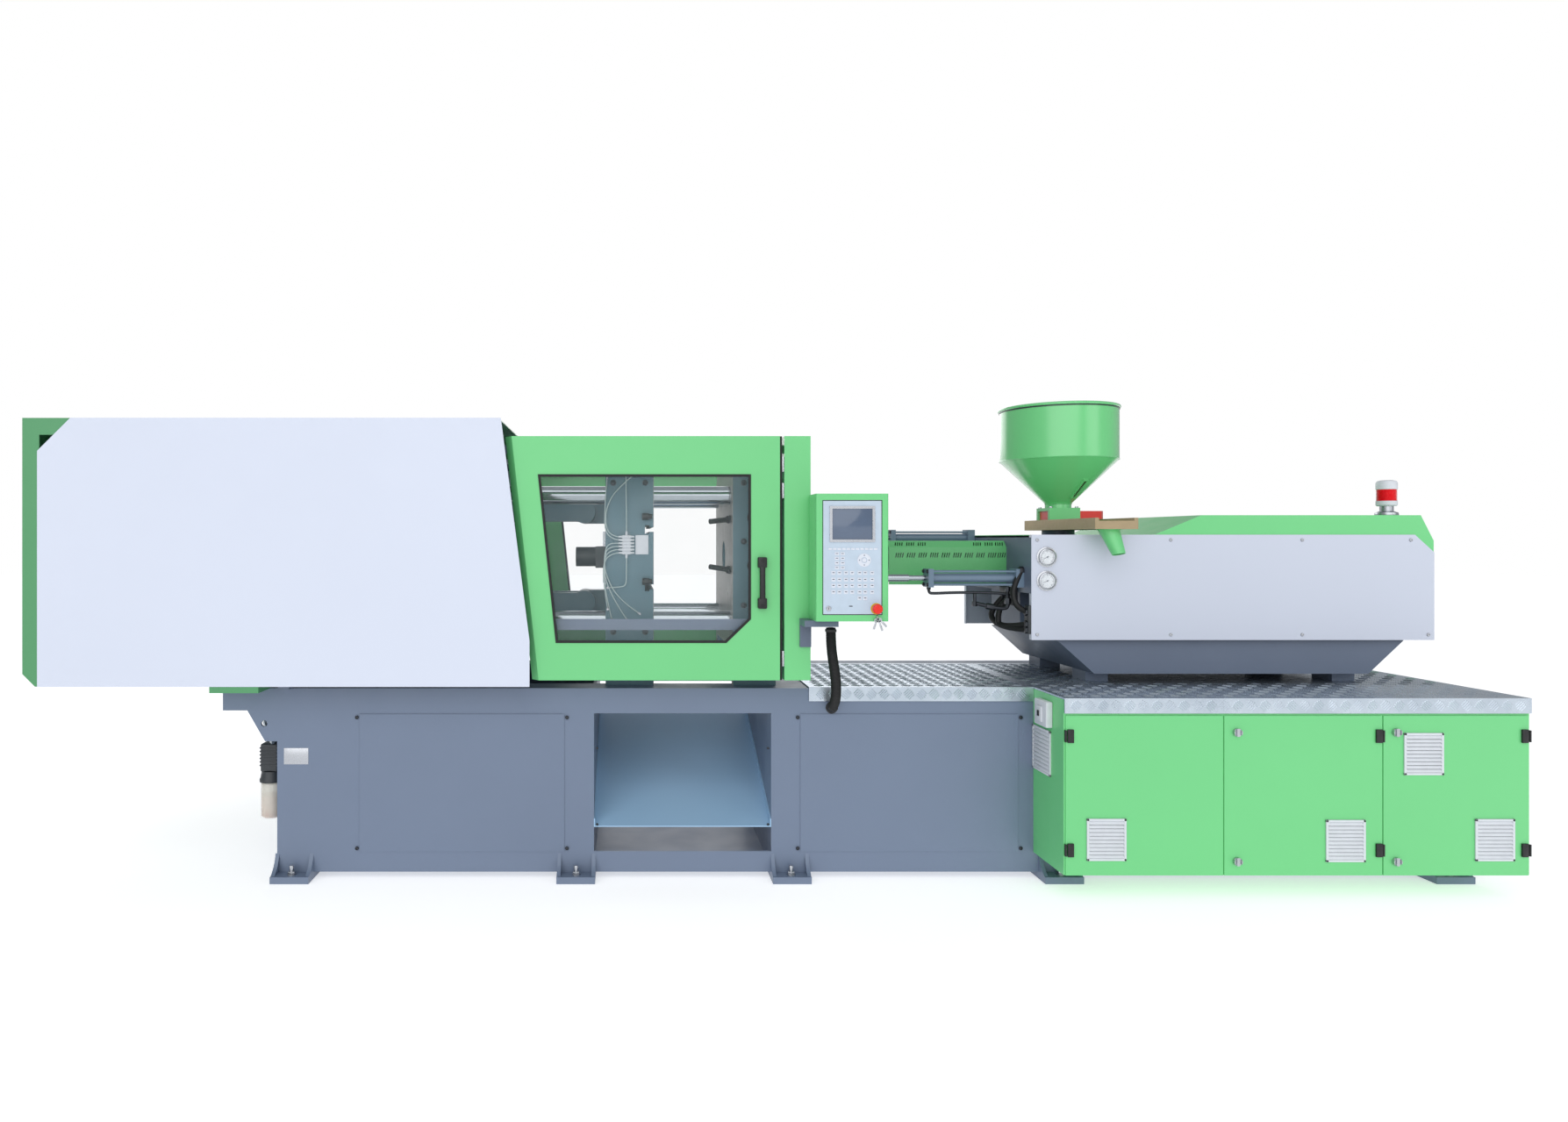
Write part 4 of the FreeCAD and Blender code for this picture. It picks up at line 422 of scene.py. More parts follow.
def rod(mesh, start, end, radius, end_radius=None, sides=24, bevel=0.0):
    start = Vector(start)
    end = Vector(end)
    run = end - start
    made = bmesh.ops.create_cone(
        mesh, cap_ends=True, segments=sides, radius1=radius, radius2=radius if end_radius is None else end_radius,
        depth=run.length, matrix=Matrix.Translation((start + end) / 2) @ facing(run),
    )
    if bevel > 0:
        faces = {face for vert in made["verts"] for face in vert.link_faces}
        rims = {edge for face in faces if len(face.verts) == sides for edge in face.edges}
        round_edges(mesh, rims, bevel)


def add_part(mesh, part, matrix):
    part.transform(matrix)
    keep = bpy.data.meshes.new("part")
    part.to_mesh(keep)
    part.free()
    mesh.from_mesh(keep)
    bpy.data.meshes.remove(keep)


def lathe(mesh, centre, axis, profile, sides=32, closed=False):
    """Turns a profile of (radius, height) points round the axis through the centre."""
    part = bmesh.new()
    verts = [part.verts.new((radius, 0.0, height)) for radius, height in profile]
    edges = [part.edges.new(pair) for pair in zip(verts, verts[1:])]
    if closed:
        edges.append(part.edges.new((verts[-1], verts[0])))
    bmesh.ops.spin(
        part, geom=verts + edges, cent=(0, 0, 0), axis=(0, 0, 1), dvec=(0, 0, 0), angle=math.tau,
        steps=sides, use_merge=True, use_duplicate=False,
    )
    bmesh.ops.remove_doubles(part, verts=part.verts, dist=1e-6)
    add_part(mesh, part, Matrix.Translation(centre) @ facing(axis))


def line_curve(name, points, radius=0.0):
    """A smooth open line with the points as its controls; a radius makes it a tube."""
    curve = bpy.data.curves.new(name, "CURVE")
    curve.dimensions = "3D"
    spline = curve.splines.new("NURBS")
    spline.points.add(len(points) - 1)
    for control, place in zip(spline.points, points):
        control.co = (*place, 1.0)
    spline.order_u = 3
    spline.use_endpoint_u = True
    curve.resolution_u = 8
    curve.bevel_depth = radius
    curve.bevel_resolution = 3
    curve.use_fill_caps = True
    return curve


def tube(mesh, points, radius):
    curve = line_curve("tube", points, radius)
    holder = bpy.data.objects.new("tube", curve)
    made = bpy.data.meshes.new_from_object(holder)
    mesh.from_mesh(made)
    bpy.data.objects.remove(holder)
    bpy.data.curves.remove(curve)
    bpy.data.meshes.remove(made)


def line_points(points):
    """The smooth line's own points, from first to last."""
    curve = line_curve("line", points)
    holder = bpy.data.objects.new("line", curve)
    made = bpy.data.meshes.new_from_object(holder)
    found = [vert.co.copy() for vert in made.vertices]
    bpy.data.objects.remove(holder)
    bpy.data.curves.remove(curve)
    bpy.data.meshes.remove(made)
    return found


def run_length(points):
    return sum((b - a).length for a, b in zip(points, points[1:]))


def settle(name, mesh, finish, body, smooth=35.0):
    """Makes the finished piece: faces outward, painted, riding on its body."""
    bmesh.ops.recalc_face_normals(mesh, faces=mesh.faces)
    data = bpy.data.meshes.new(name)
    mesh.to_mesh(data)
    mesh.free()
    data.polygons.foreach_set("use_smooth", [True] * len(data.polygons))
    data.set_sharp_from_angle(angle=math.radians(smooth))
    data.materials.append(finish_named(finish))
    piece = bpy.data.objects.new(name, data)
    bpy.context.scene.collection.objects.link(piece)
    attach(piece, body)
    return piece


def outline_bar(mesh, corners, width, depth, out):
    """A flat band of the given width inside a closed outline in the XZ plane, pushed out along Y."""
    verts = [mesh.verts.new(corner) for corner in corners]
    face = mesh.faces.new(verts)
    face.normal_update()
    inner = bmesh.ops.inset_region(
        mesh, faces=[face], thickness=width, depth=0.0, use_boundary=True, use_even_offset=True
    )
    bmesh.ops.delete(mesh, geom=[face], context="FACES_ONLY")
    band = inner["faces"]
    pushed = bmesh.ops.extrude_face_region(mesh, geom=band)
    moved = [item for item in pushed["geom"] if isinstance(item, bmesh.types.BMVert)]
    bmesh.ops.translate(mesh, verts=moved, vec=out * depth)


def screw_head(mesh, place, out, radius=0.006, socket=True):
    """A domed socket screw whose head stands out of the face it holds."""
    out = Vector(out)
    rise = radius * 0.55
    profile = [(0.0, 0.0), (radius, 0.0), (radius, rise * 0.45), (radius * 0.82, rise * 0.9), (radius * 0.5, rise)]
    if socket:
        profile += [(radius * 0.5, rise * 0.4), (0.0, rise * 0.4)]
    else:
        profile += [(0.0, rise)]
    lathe(mesh, place, out, profile, 12)


def hex_bolt(mesh, place, out, radius=0.012):
    out = Vector(out).normalized()
    place = Vector(place)
    rod(mesh, place, place + out * radius * 0.25, radius * 1.25, sides=20)
    rod(mesh, place + out * radius * 0.2, place + out * radius, radius, sides=6, bevel=radius * 0.08)


# ---- clamp cover and gates ----

GATE_SIDE = 0.500
COVER_PANEL_SIDE = 0.530

FRONT = -Y
WINDOW_OUTLINE = (
    (-0.788, 1.481), (-0.724, 0.876), (-0.112, 0.876), (-0.024, 0.961), (-0.024, 1.481),
)
SEAL_WIDTH = 0.009


def window_seals():
    """Black rubber sections round the gate windows, front and rear."""
    for side, body, name in ((-1, "front_gate", "window_seal_front"), (1, "rear_gate", "window_seal_rear")):
        mesh = bmesh.new()
        face = GATE_SIDE * side
        corners = [at(x, face - side * 0.0035, z) for x, z in WINDOW_OUTLINE]
        outline_bar(mesh, corners, SEAL_WIDTH, 0.006, Y * side)
        settle(name, mesh, "black_rubber", body)


def gate_handles():
    """Black pull handles: two screwed feet and a waisted grip."""
    for side, body, name in ((-1, "front_gate", "gate_handle_front"), (1, "rear_gate", "gate_handle_rear")):
        mesh = bmesh.new()
        face = GATE_SIDE * side
        out = face + side * 0.026
        for low_z in (1.000, 1.146):
            ends = sorted((face, out))
            block(mesh, at(-0.001, ends[0], low_z), at(0.031, ends[1], low_z + 0.038), 0.004)
        grip = sorted((face + side * 0.014, out))
        block(mesh, at(0.005, grip[0], 1.030), at(0.025, grip[1], 1.154), 0.005, 3)
        for z in (1.010, 1.174):
            screw_head(mesh, at(0.015, out, z), Y * side, 0.006)
        settle(name, mesh, "black_plastic", body)


def gate_seam_parts():
    """Closing edge between the front gate and its column: rubber strip and two latch plates."""
    mesh = bmesh.new()
    block(mesh, at(0.0805, -0.496, 0.742), at(0.0885, -0.474, 1.618), 0.002)
    settle("gate_edge_strip", mesh, "black_rubber", "front_gate")
    mesh = bmesh.new()
    for z in (1.395, 1.490, 0.792):
        block(mesh, at(0.0885, -0.4985, z), at(0.0955, -0.47, z + 0.055), 0.001)
        rod(mesh, at(0.092, -0.500, z + 0.012), at(0.092, -0.497, z + 0.012), 0.0028, sides=12)
        rod(mesh, at(0.092, -0.500, z + 0.043), at(0.092, -0.497, z + 0.043), 0.0028, sides=12)
    settle("gate_latch_plates", mesh, "bright_steel", "machine")


def cover_edges():
    """Folded edges of the big white panels, coloured slate grey as painted shade."""
    for side, name in ((-1, "cover_edge_shade_front"), (1, "cover_edge_shade_rear")):
        mesh = bmesh.new()
        face = COVER_PANEL_SIDE * side
        inner = face - side * 0.004
        x0, x1 = -0.815, -0.917
        spots = ((x0, 0.723), (x0, 0.888), (x1, 1.680))
        for (xa, za), (xb, zb) in zip(spots, spots[1:]):
            part = bmesh.new()
            verts = [
                part.verts.new(at(xa, inner, za)), part.verts.new(at(xb, inner, zb)),
                part.verts.new(at(xb - 0.012, inner - side * 0.016, zb)),
                part.verts.new(at(xa - 0.012, inner - side * 0.016, za)),
            ]
            sheet = part.faces.new(verts)
            thick = bmesh.ops.extrude_face_region(part, geom=[sheet])
            moved = [item for item in thick["geom"] if isinstance(item, bmesh.types.BMVert)]
            bmesh.ops.translate(part, verts=moved, vec=(-0.003, 0, 0))
            add_part(mesh, part, Matrix.Identity(4))
        # painted shade: the folds are coloured slate grey where the white panel's edge is shaded
        settle(name, mesh, "base_slate", "machine")


# ---- mould space ----

PLATEN_SIDE = -0.335

MANIFOLD_LOW = (-0.500, -0.352, 1.191)
MANIFOLD_HIGH = (-0.441, PLATEN_SIDE, 1.2635)
MANIFOLD_ROWS = 6


def lubrication_manifold():
    """Distributor block on the moving platen: six pairs of push-in fittings on a back plate."""
    x0, y0, z0 = MANIFOLD_LOW
    x1, y1, z1 = MANIFOLD_HIGH
    mesh = bmesh.new()
    block(mesh, at(x0 + 0.014, y0 + 0.002, z0), at(x1 - 0.014, y1, z1), 0.002)
    pitch = (z1 - z0) / MANIFOLD_ROWS
    for row in range(MANIFOLD_ROWS):
        z = z0 + pitch * (row + 0.5)
        block(mesh, at(x0 + 0.008, y0 - 0.002, z - 0.004), at(x1 - 0.008, y0 + 0.010, z + 0.004), 0.001)
        rod(mesh, at(x0, y0 + 0.006, z), at(x1, y0 + 0.006, z), 0.0034, sides=12, bevel=0.0006)
    rod(mesh, at(-0.4705, y0 + 0.006, z0 - 0.014), at(-0.4705, y0 + 0.006, z1 + 0.014), 0.0045, sides=12)
    settle("lubrication_manifold", mesh, "white_plastic", "moving_platen")
    mesh = bmesh.new()
    block(mesh, at(-0.437, y1 - 0.003, z0), at(-0.388, y1, z1), 0.002)
    for x in (-0.432, -0.393):
        for z in (z0 + 0.006, z1 - 0.006):
            screw_head(mesh, at(x, y1 - 0.003, z), FRONT, 0.0025)
    settle("platen_blank_plate", mesh, "white_plastic", "moving_platen")


LINE_RUNS = {
    "feed_line_up": (
        (-0.4705, -0.346, 1.278), (-0.4705, -0.345, 1.36), (-0.4725, -0.342, 1.46), (-0.4725, -0.338, 1.508),
    ),
    "feed_line_down": (
        (-0.4705, -0.346, 1.177), (-0.4705, -0.345, 1.12), (-0.4715, -0.345, 1.073), (-0.500, -0.342, 1.068),
        (-0.541, -0.337, 1.066),
    ),
    "grease_line_1": (
        (-0.500, -0.346, 1.257), (-0.530, -0.350, 1.262), (-0.549, -0.348, 1.30), (-0.546, -0.345, 1.37),
        (-0.505, -0.342, 1.44), (-0.430, -0.338, 1.500),
    ),
    "grease_line_2": (
        (-0.500, -0.346, 1.245), (-0.533, -0.349, 1.252), (-0.553, -0.347, 1.29), (-0.551, -0.345, 1.36),
        (-0.547, -0.341, 1.44), (-0.541, -0.337, 1.497),
    ),
    "grease_line_3": (
        (-0.500, -0.346, 1.233), (-0.536, -0.349, 1.236), (-0.553, -0.346, 1.20), (-0.552, -0.343, 1.12),
        (-0.500, -0.341, 1.02), (-0.420, -0.337, 0.968),
    ),
    "grease_line_4": (
        (-0.500, -0.346, 1.221), (-0.538, -0.348, 1.222), (-0.555, -0.345, 1.18), (-0.552, -0.343, 1.10),
        (-0.512, -0.340, 1.01), (-0.468, -0.337, 0.945),
    ),
    "grease_line_5": (
        (-0.500, -0.346, 1.209), (-0.538, -0.348, 1.207), (-0.557, -0.345, 1.16), (-0.553, -0.342, 1.08),
        (-0.538, -0.340, 1.00), (-0.525, -0.337, 0.945),
    ),
    "grease_line_6": (
        (-0.500, -0.346, 1.197), (-0.537, -0.347, 1.192), (-0.558, -0.344, 1.15), (-0.556, -0.341, 1.09),
        (-0.548, -0.339, 1.03), (-0.541, -0.337, 0.985),
    ),
}


def lubrication_lines(width):
    """Thin grease lines from the manifold, each running into a union on the platen's side."""
    unions = bmesh.new()
    for name, run in LINE_RUNS.items():
        points = [at(*place) for place in run]
        curve = line_curve(name, points, width / 2)
        curve.materials.append(finish_named("pale_nylon"))
        line = bpy.data.objects.new(name, curve)
        bpy.context.scene.collection.objects.link(line)
        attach(line, "moving_platen")
        spline_points = line_points(points)
        rod(unions, points[-1] - FRONT * 0.004, points[-1] + FRONT * 0.003, width * 1.1, sides=10)
        rod(unions, points[-1] - (points[-1] - points[-2]).normalized() * 0.010, points[-1], width * 0.8, sides=10)
    settle("line_unions", unions, "bright_steel", "moving_platen")


def platen_fittings():
    """Water couplings, lifting-eye bores shown as near-black discs of painted shade, and cap screws on the two platens.
    """
    mesh = bmesh.new()
    for z in (1.333, 1.090):
        rod(mesh, at(-0.412, -0.347, z), at(-0.385, -0.347, z), 0.013, sides=20, bevel=0.002)
        rod(mesh, at(-0.386, -0.347, z), at(-0.374, -0.347, z), 0.009, sides=16, bevel=0.001)
        rod(mesh, at(-0.400, -0.347, z), at(-0.400, -0.334, z), 0.007, sides=12)
    settle("platen_couplings", mesh, "black_plastic", "moving_platen")
    mesh = bmesh.new()
    for z, drop in ((1.325, -0.010), (1.130, 0.014)):
        start = at(-0.070, -0.255, z)
        end = at(-0.155, -0.300, z + drop)
        rod(mesh, start, end, 0.010, sides=20, bevel=0.002)
        rod(mesh, start, start + (end - start) * 0.18, 0.015, sides=6)
    settle("mould_water_stubs", mesh, "black_plastic", "machine")
    mesh = bmesh.new()
    # painted shade: the bores are near-black discs and rings, not holes
    for z in (1.33, 1.15):
        lathe(
            mesh, at(0.010, PLATEN_SIDE, z), FRONT,
            [(0.0, 0.0005), (0.020, 0.0005), (0.022, 0.002), (0.026, 0.002), (0.027, 0.0)], 28
        )
    settle("platen_bore_shade_rings", mesh, "painted_void_shade", "machine")
    mesh = bmesh.new()
    for x in (-0.52, -0.40):
        for z in (0.90, 1.46):
            hex_bolt(mesh, at(x, PLATEN_SIDE, z), FRONT, 0.009)
    settle("moving_platen_bolts", mesh, "dark_steel", "moving_platen")
    mesh = bmesh.new()
    for x in (-0.030, 0.060):
        for z in (0.88, 1.00, 1.24, 1.46):
            hex_bolt(mesh, at(x, PLATEN_SIDE, z), FRONT, 0.009)
    settle("fixed_platen_bolts", mesh, "dark_steel", "machine")


# ---- control panel ----

KEY_COLUMNS = (0.242, 0.2625, 0.285, 0.306, 0.332, 0.351, 0.375)
KEY_ROWS = (1.132, 1.109, 1.088, 1.066)
PAD_COLUMNS = (0.254, 0.2735)
PAD_ROWS = (1.198, 1.182, 1.166, 1.150)
FASCIA_FACE = -0.6390


def key(keys, marks, x, z, width, height, mark=True):
    """A domed membrane key with a plain mark on it."""
    y = FASCIA_FACE
    block(keys, at(x - width / 2, y - 0.0016, z - height / 2), at(x + width / 2, y + 0.0005, z + height / 2), 0.0007)
    if mark:
        block(
            marks, at(x - width * 0.26, y - 0.0019, z - height * 0.02),
            at(x + width * 0.26, y - 0.0012, z + height * 0.16),
        )


def control_panel_face():
    keys = bmesh.new()
    marks = bmesh.new()
    for row in KEY_ROWS:
        for column in KEY_COLUMNS:
            key(keys, marks, column, row, 0.0145, 0.0135)
    for column in (0.332, 0.351):
        key(keys, marks, column, 1.045, 0.0145, 0.0135)
    for row in PAD_ROWS:
        for column in PAD_COLUMNS:
            key(keys, marks, column, row, 0.0150, 0.0115)
    for index in range(11):
        key(keys, marks, 0.231 + index * 0.0156, 1.2145, 0.0125, 0.0070, False)
    face = at(0.348, FASCIA_FACE, 1.176)
    ring = [(0.010, 0.0), (0.010, 0.0016), (0.0225, 0.0016), (0.0235, 0.0)]
    lathe(keys, face, FRONT, ring, 40, closed=True)
    lathe(keys, face, FRONT, [(0.0, 0.0020), (0.0075, 0.0020), (0.0082, 0.0)], 24)
    for step in range(4):
        turn = step * math.pi / 2
        spot = face + Vector((math.cos(turn), 0, math.sin(turn))) * 0.0165
        rod(marks, spot + FRONT * 0.0012, spot + FRONT * 0.0019, 0.0028, sides=3)
    settle("panel_keys", keys, "key_dome", "control_panel")
    settle("panel_key_marks", marks, "key_mark", "control_panel")
    bezel = bmesh.new()
    corners = [at(x, FASCIA_FACE, z) for x, z in ((0.229, 1.238), (0.385, 1.238), (0.385, 1.362), (0.229, 1.362))]
    outline_bar(bezel, corners, 0.009, 0.0035, FRONT)
    settle("display_bezel", bezel, "bright_steel", "control_panel")
    glass = bmesh.new()
    block(glass, at(0.238, FASCIA_FACE - 0.0012, 1.247), at(0.376, FASCIA_FACE + 0.0005, 1.353), 0.0005)
    settle("display_glass_sheet", glass, "display_glass", "control_panel")
    trim = bmesh.new()
    low, high = BOX["hmi_housing"]
    edge = 0.0225
    corners = [
        Vector((x, low.y + 0.0002, z))
        for x, z in (
            (low.x + edge, low.z + edge), (high.x - edge, low.z + edge),
            (high.x - edge, high.z - edge), (low.x + edge, high.z - edge),
        )
    ]
    outline_bar(trim, corners, 0.0022, -0.0012, FRONT)
    settle("fascia_gasket", trim, "black_rubber", "control_panel")
    lock = bmesh.new()
    lathe(
        lock, at(0.2257, FASCIA_FACE, 1.0095), FRONT,
        [
            (0.0, 0.0), (0.0088, 0.0), (0.0088, 0.0022), (0.0072, 0.0034), (0.0045, 0.0034), (0.0045, 0.0026),
            (0.0, 0.0026)
        ],
        28,
    )
    settle("panel_lock", lock, "bright_steel", "control_panel")
    # painted shade: near-black blocks for the lock's keyway and a slit in the fascia
    slot = bmesh.new()
    block(slot, at(0.2249, FASCIA_FACE - 0.0032, 1.0060), at(0.2265, FASCIA_FACE - 0.0024, 1.0130))
    block(slot, at(0.296, FASCIA_FACE - 0.0004, 1.016), at(0.308, FASCIA_FACE + 0.0005, 1.019))
    settle("panel_slot_shade", slot, "painted_void_shade", "control_panel")


def stop_ring_and_keys():
    stop_low, stop_high = BOX["emergency_stop"]
    centre = Vector(((stop_low.x + stop_high.x) / 2, at(0, -0.643, 0).y, (stop_low.z + stop_high.z) / 2))
    mesh = bmesh.new()
    lathe(mesh, centre, FRONT, [(0.0105, 0.0), (0.0105, 0.0016), (0.0185, 0.0016), (0.0198, 0.0)], 40, closed=True)
    settle("stop_ring", mesh, "yellow_plastic", "control_panel")
    mesh = bmesh.new()
    hanger = centre + Vector((0.002, -0.004, -0.0285))
    lathe(mesh, hanger, X, [(0.0062, -0.0008), (0.0078, -0.0008), (0.0078, 0.0008), (0.0062, 0.0008)], 24, closed=True)
    for turn, length in ((-0.75, 0.034), (-0.35, 0.038), (0.30, 0.032)):
        part = bmesh.new()
        lathe(
            part, Vector((0, 0, -0.012)), FRONT, [(0.0035, 0.0), (0.0075, 0.0), (0.0075, 0.0018), (0.0035, 0.0018)],
            20, closed=True
        )
        block(part, (-0.0032, -0.0018, -0.012 - length), (0.0032, 0.0, -0.018), 0.0005)
        for tooth in range(4):
            low_z = -0.012 - length + 0.003 + tooth * 0.0045
            block(part, (0.0026, -0.0018, low_z), (0.0046, 0.0, low_z + 0.0022))
        add_part(mesh, part, Matrix.Translation(hanger) @ Matrix.Rotation(turn, 4, "Y"))
    settle("panel_key_bunch", mesh, "bright_steel", "control_panel")


CONDUIT_RUN = (
    (0.247, -0.572, 0.936), (0.249, -0.566, 0.872), (0.262, -0.548, 0.806), (0.277, -0.520, 0.742),
    (0.284, -0.488, 0.680), (0.284, -0.448, 0.641), (0.284, -0.410, 0.629),
)
CONDUIT_RADIUS = 0.018
CONDUIT_RIB = 0.0045


def resampled(points, pitch):
    """Points a pitch apart along the line through the given points."""
    spots = [points[0]]
    carried = 0.0
    for start, end in zip(points, points[1:]):
        run = (end - start).length
        reach = pitch - carried
        while reach <= run:
            spots.append(start.lerp(end, reach / run))
            reach += pitch
        carried = run - (reach - pitch)
    return spots + [points[-1]]


def ribbed_conduit():
    controls = [at(*place) for place in CONDUIT_RUN]
    line = line_points(controls)
    spots = resampled(line, CONDUIT_RIB / 2)
    mesh = bmesh.new()
    before = None
    for index, spot in enumerate(spots):
        ahead = spots[min(index + 1, len(spots) - 1)] - spots[max(index - 1, 0)]
        radius = CONDUIT_RADIUS - (0.0022 if index % 2 else 0.0)
        made = bmesh.ops.create_circle(
            mesh, cap_ends=index in (0, len(spots) - 1), segments=24, radius=radius,
            matrix=Matrix.Translation(spot) @ facing(ahead),
        )
        rim = {edge for vert in made["verts"] for edge in vert.link_edges if len(edge.link_faces) < 2}
        rim = [edge for edge in rim if all(vert in made["verts"] for vert in edge.verts)]
        if before:
            bmesh.ops.bridge_loops(mesh, edges=before + rim)
        before = rim
    piece = settle("conduit_hose", mesh, "black_rubber", "machine", 60.0)
    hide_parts("conduit")
    glands = bmesh.new()
    end = controls[-1]
    heading = (controls[-1] - controls[-2]).normalized()
    top = controls[0]
    rod(glands, top - Z * 0.004, (top.x, top.y, BOX["hmi_bracket"][0].z + 0.060), 0.021, sides=6, bevel=0.001)
    rod(glands, end - heading * 0.028, end - heading * 0.006, 0.0205, sides=6, bevel=0.001)
    lathe(
        glands, (end.x, at(0, -0.410, 0).y, end.z), FRONT,
        [(0.0, 0.0), (0.022, 0.0), (0.022, 0.004), (0.018, 0.005), (0.0, 0.005)], 28
    )
    gland_piece = settle("conduit_glands", glands, "black_plastic", "machine")


# ---- barrel, cylinders and injection cover ----

SLOT_GROUPS = (0.602, 0.648, 0.694, 0.915, 0.961, 1.002)
LOWER_GROUPS = (0.602, 0.648, 0.694, 0.740, 0.786, 0.832, 0.878, 0.924, 0.970, 1.008)
SLOT_PITCH = 0.0088


def slotted_guard():
    """The barrel guard with its punched vent slots, on both long sides."""
    cutters = bmesh.new()
    bevel_mid = BOX["barrel_guard"][1].z - 0.013
    for side in (-1, 1):
        for groups, z, y, tilt in (
            (SLOT_GROUPS, bevel_mid, side * 0.109, side * math.radians(45)),
            (LOWER_GROUPS, bevel_mid - 0.044, side * 0.122, 0.0),
        ):
            for start in groups:
                for index in range(4):
                    part = bmesh.new()
                    block(part, (-0.002, -0.008, -0.010), (0.002, 0.008, 0.010))
                    lean = Matrix.Rotation(math.radians(14), 4, "Y")
                    spot = Matrix.Translation(
                        at(start + index * SLOT_PITCH, y, z)
                    ) @ Matrix.Rotation(tilt, 4, "X") @ lean
                    add_part(cutters, part, spot)
    knife_data = bpy.data.meshes.new("slot_cutters")
    bmesh.ops.recalc_face_normals(cutters, faces=cutters.faces)
    cutters.to_mesh(knife_data)
    cutters.free()
    knife = bpy.data.objects.new("slot_cutters", knife_data)
    sheet = bmesh.new()
    sheet.from_mesh(NODES["barrel_guard"].data)
    bmesh.ops.remove_doubles(sheet, verts=sheet.verts, dist=1e-5)
    piece = settle("barrel_guard_slotted", sheet, "guard_green", "injection_carriage")
    bpy.context.scene.collection.objects.link(knife)
    cut = piece.modifiers.new("slots", "BOOLEAN")
    cut.operation = "DIFFERENCE"
    cut.solver = "EXACT"
    cut.object = knife
    bpy.context.view_layer.update()
    done = bpy.data.meshes.new_from_object(piece.evaluated_get(bpy.context.evaluated_depsgraph_get()))
    done.name = "barrel_guard_slotted"
    done.set_sharp_from_angle(angle=math.radians(30))
    piece.modifiers.clear()
    piece.data = done
    bpy.data.objects.remove(knife)
    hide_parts("barrel_guard")


def heater_bands():
    """Heater bands round the barrel under the guard, with their clamp screws and terminal boxes."""
    mesh = bmesh.new()
    centre = at(0, 0, AXIS_Z)
    radius = 0.0585
    for index in range(6):
        x = 0.59 + index * 0.075
        spot = Vector((x, centre.y, AXIS_Z))
        lathe(mesh, spot, X, [(0.0522, 0.0), (radius, 0.001), (radius, 0.059), (0.0522, 0.060)], 40, closed=True)
        block(
            mesh, spot + Vector((0.012, -0.004, radius - 0.002)), spot + Vector((0.048, 0.004, radius + 0.004)),
            0.001
        )
    settle("heater_bands", mesh, "turned_steel", "injection_carriage")
    nozzle = bmesh.new()
    for x in (0.20, 0.29, 0.38, 0.47):
        spot = Vector((x, centre.y, AXIS_Z))
        lathe(nozzle, spot, X, [(0.0522, 0.0), (radius, 0.001), (radius, 0.069), (0.0522, 0.070)], 40, closed=True)
        rod(
            nozzle, spot + Vector((0.035, 0, -radius - 0.010)), spot + Vector((0.035, 0, -radius + 0.004)), 0.010,
            sides=16
        )
    settle("front_heater_bands", nozzle, "bright_steel", "injection_carriage")


def cylinder_fittings():
    """Tie-rod nuts, ports and the bent oil pipe of the pull-in cylinders."""
    mesh = bmesh.new()
    for y, z in ((-0.260, AXIS_Z - 0.077), (0.260, AXIS_Z + 0.077)):
        for dy in (-0.025, 0.025):
            for dz in (-0.025, 0.025):
                hex_bolt(mesh, at(0.677, y + dy, z + dz), -X, 0.006)
        rod(mesh, at(0.990, y, z - 0.034), at(0.990, y, z - 0.052), 0.010, sides=6, bevel=0.001)
        rod(mesh, at(0.688, y, z - 0.034), at(0.688, y, z - 0.045), 0.008, sides=6, bevel=0.001)
    settle("cylinder_nuts", mesh, "dark_steel", "injection_carriage")
    pipe = bmesh.new()
    z = AXIS_Z - 0.077
    tube(pipe, [at(*p) for p in (
        (0.990, -0.260, z - 0.050), (0.990, -0.262, z - 0.085), (0.990, -0.264, z - 0.112), (0.972, -0.265, z - 0.118),
        (0.930, -0.266, z - 0.112), (0.880, -0.266, z - 0.100), (0.862, -0.266, z - 0.096),
    )], 0.0075)
    tube(pipe, [at(*p) for p in (
        (0.688, -0.260, z - 0.043), (0.688, -0.262, z - 0.056), (0.700, -0.263, z - 0.060), (0.78, -0.263, z - 0.056),
        (0.90, -0.262, z - 0.056), (0.985, -0.262, z - 0.060), (0.992, -0.262, z - 0.070), (0.992, -0.262, z - 0.090),
    )], 0.0055)
    rod(pipe, at(0.862, -0.266, z - 0.100), at(0.862, -0.266, z - 0.060), 0.006, sides=16, bevel=0.001)
    rod(pipe, at(0.862, -0.266, z - 0.108), at(0.862, -0.266, z - 0.090), 0.0105, sides=6, bevel=0.001)
    rod(pipe, at(0.905, -0.266, z - 0.1065), at(0.935, -0.266, z - 0.1125), 0.012, sides=6, bevel=0.001)
    rod(pipe, at(0.990, -0.263, z - 0.078), at(0.990, -0.263, z - 0.100), 0.0125, sides=6, bevel=0.001)
    settle("oil_pipes", pipe, "dark_steel", "injection_carriage")


HOSE_RUNS = {
    "oil_hose_1": (
        (1.036, -0.285, 1.130), (1.016, -0.287, 1.100), (0.996, -0.290, 1.040), (1.008, -0.310, 0.985),
        (1.036, -0.338, 0.975),
    ),
    "oil_hose_2": (
        (1.030, -0.190, 1.020), (0.996, -0.190, 1.000), (0.978, -0.192, 0.950), (0.985, -0.192, 0.900),
        (1.036, -0.338, 0.930),
    ),
    "oil_hose_3": (
        (1.030, -0.120, 1.020), (0.990, -0.120, 0.980), (0.972, -0.130, 0.935), (0.990, -0.220, 0.905),
        (1.036, -0.338, 0.908),
    ),
}


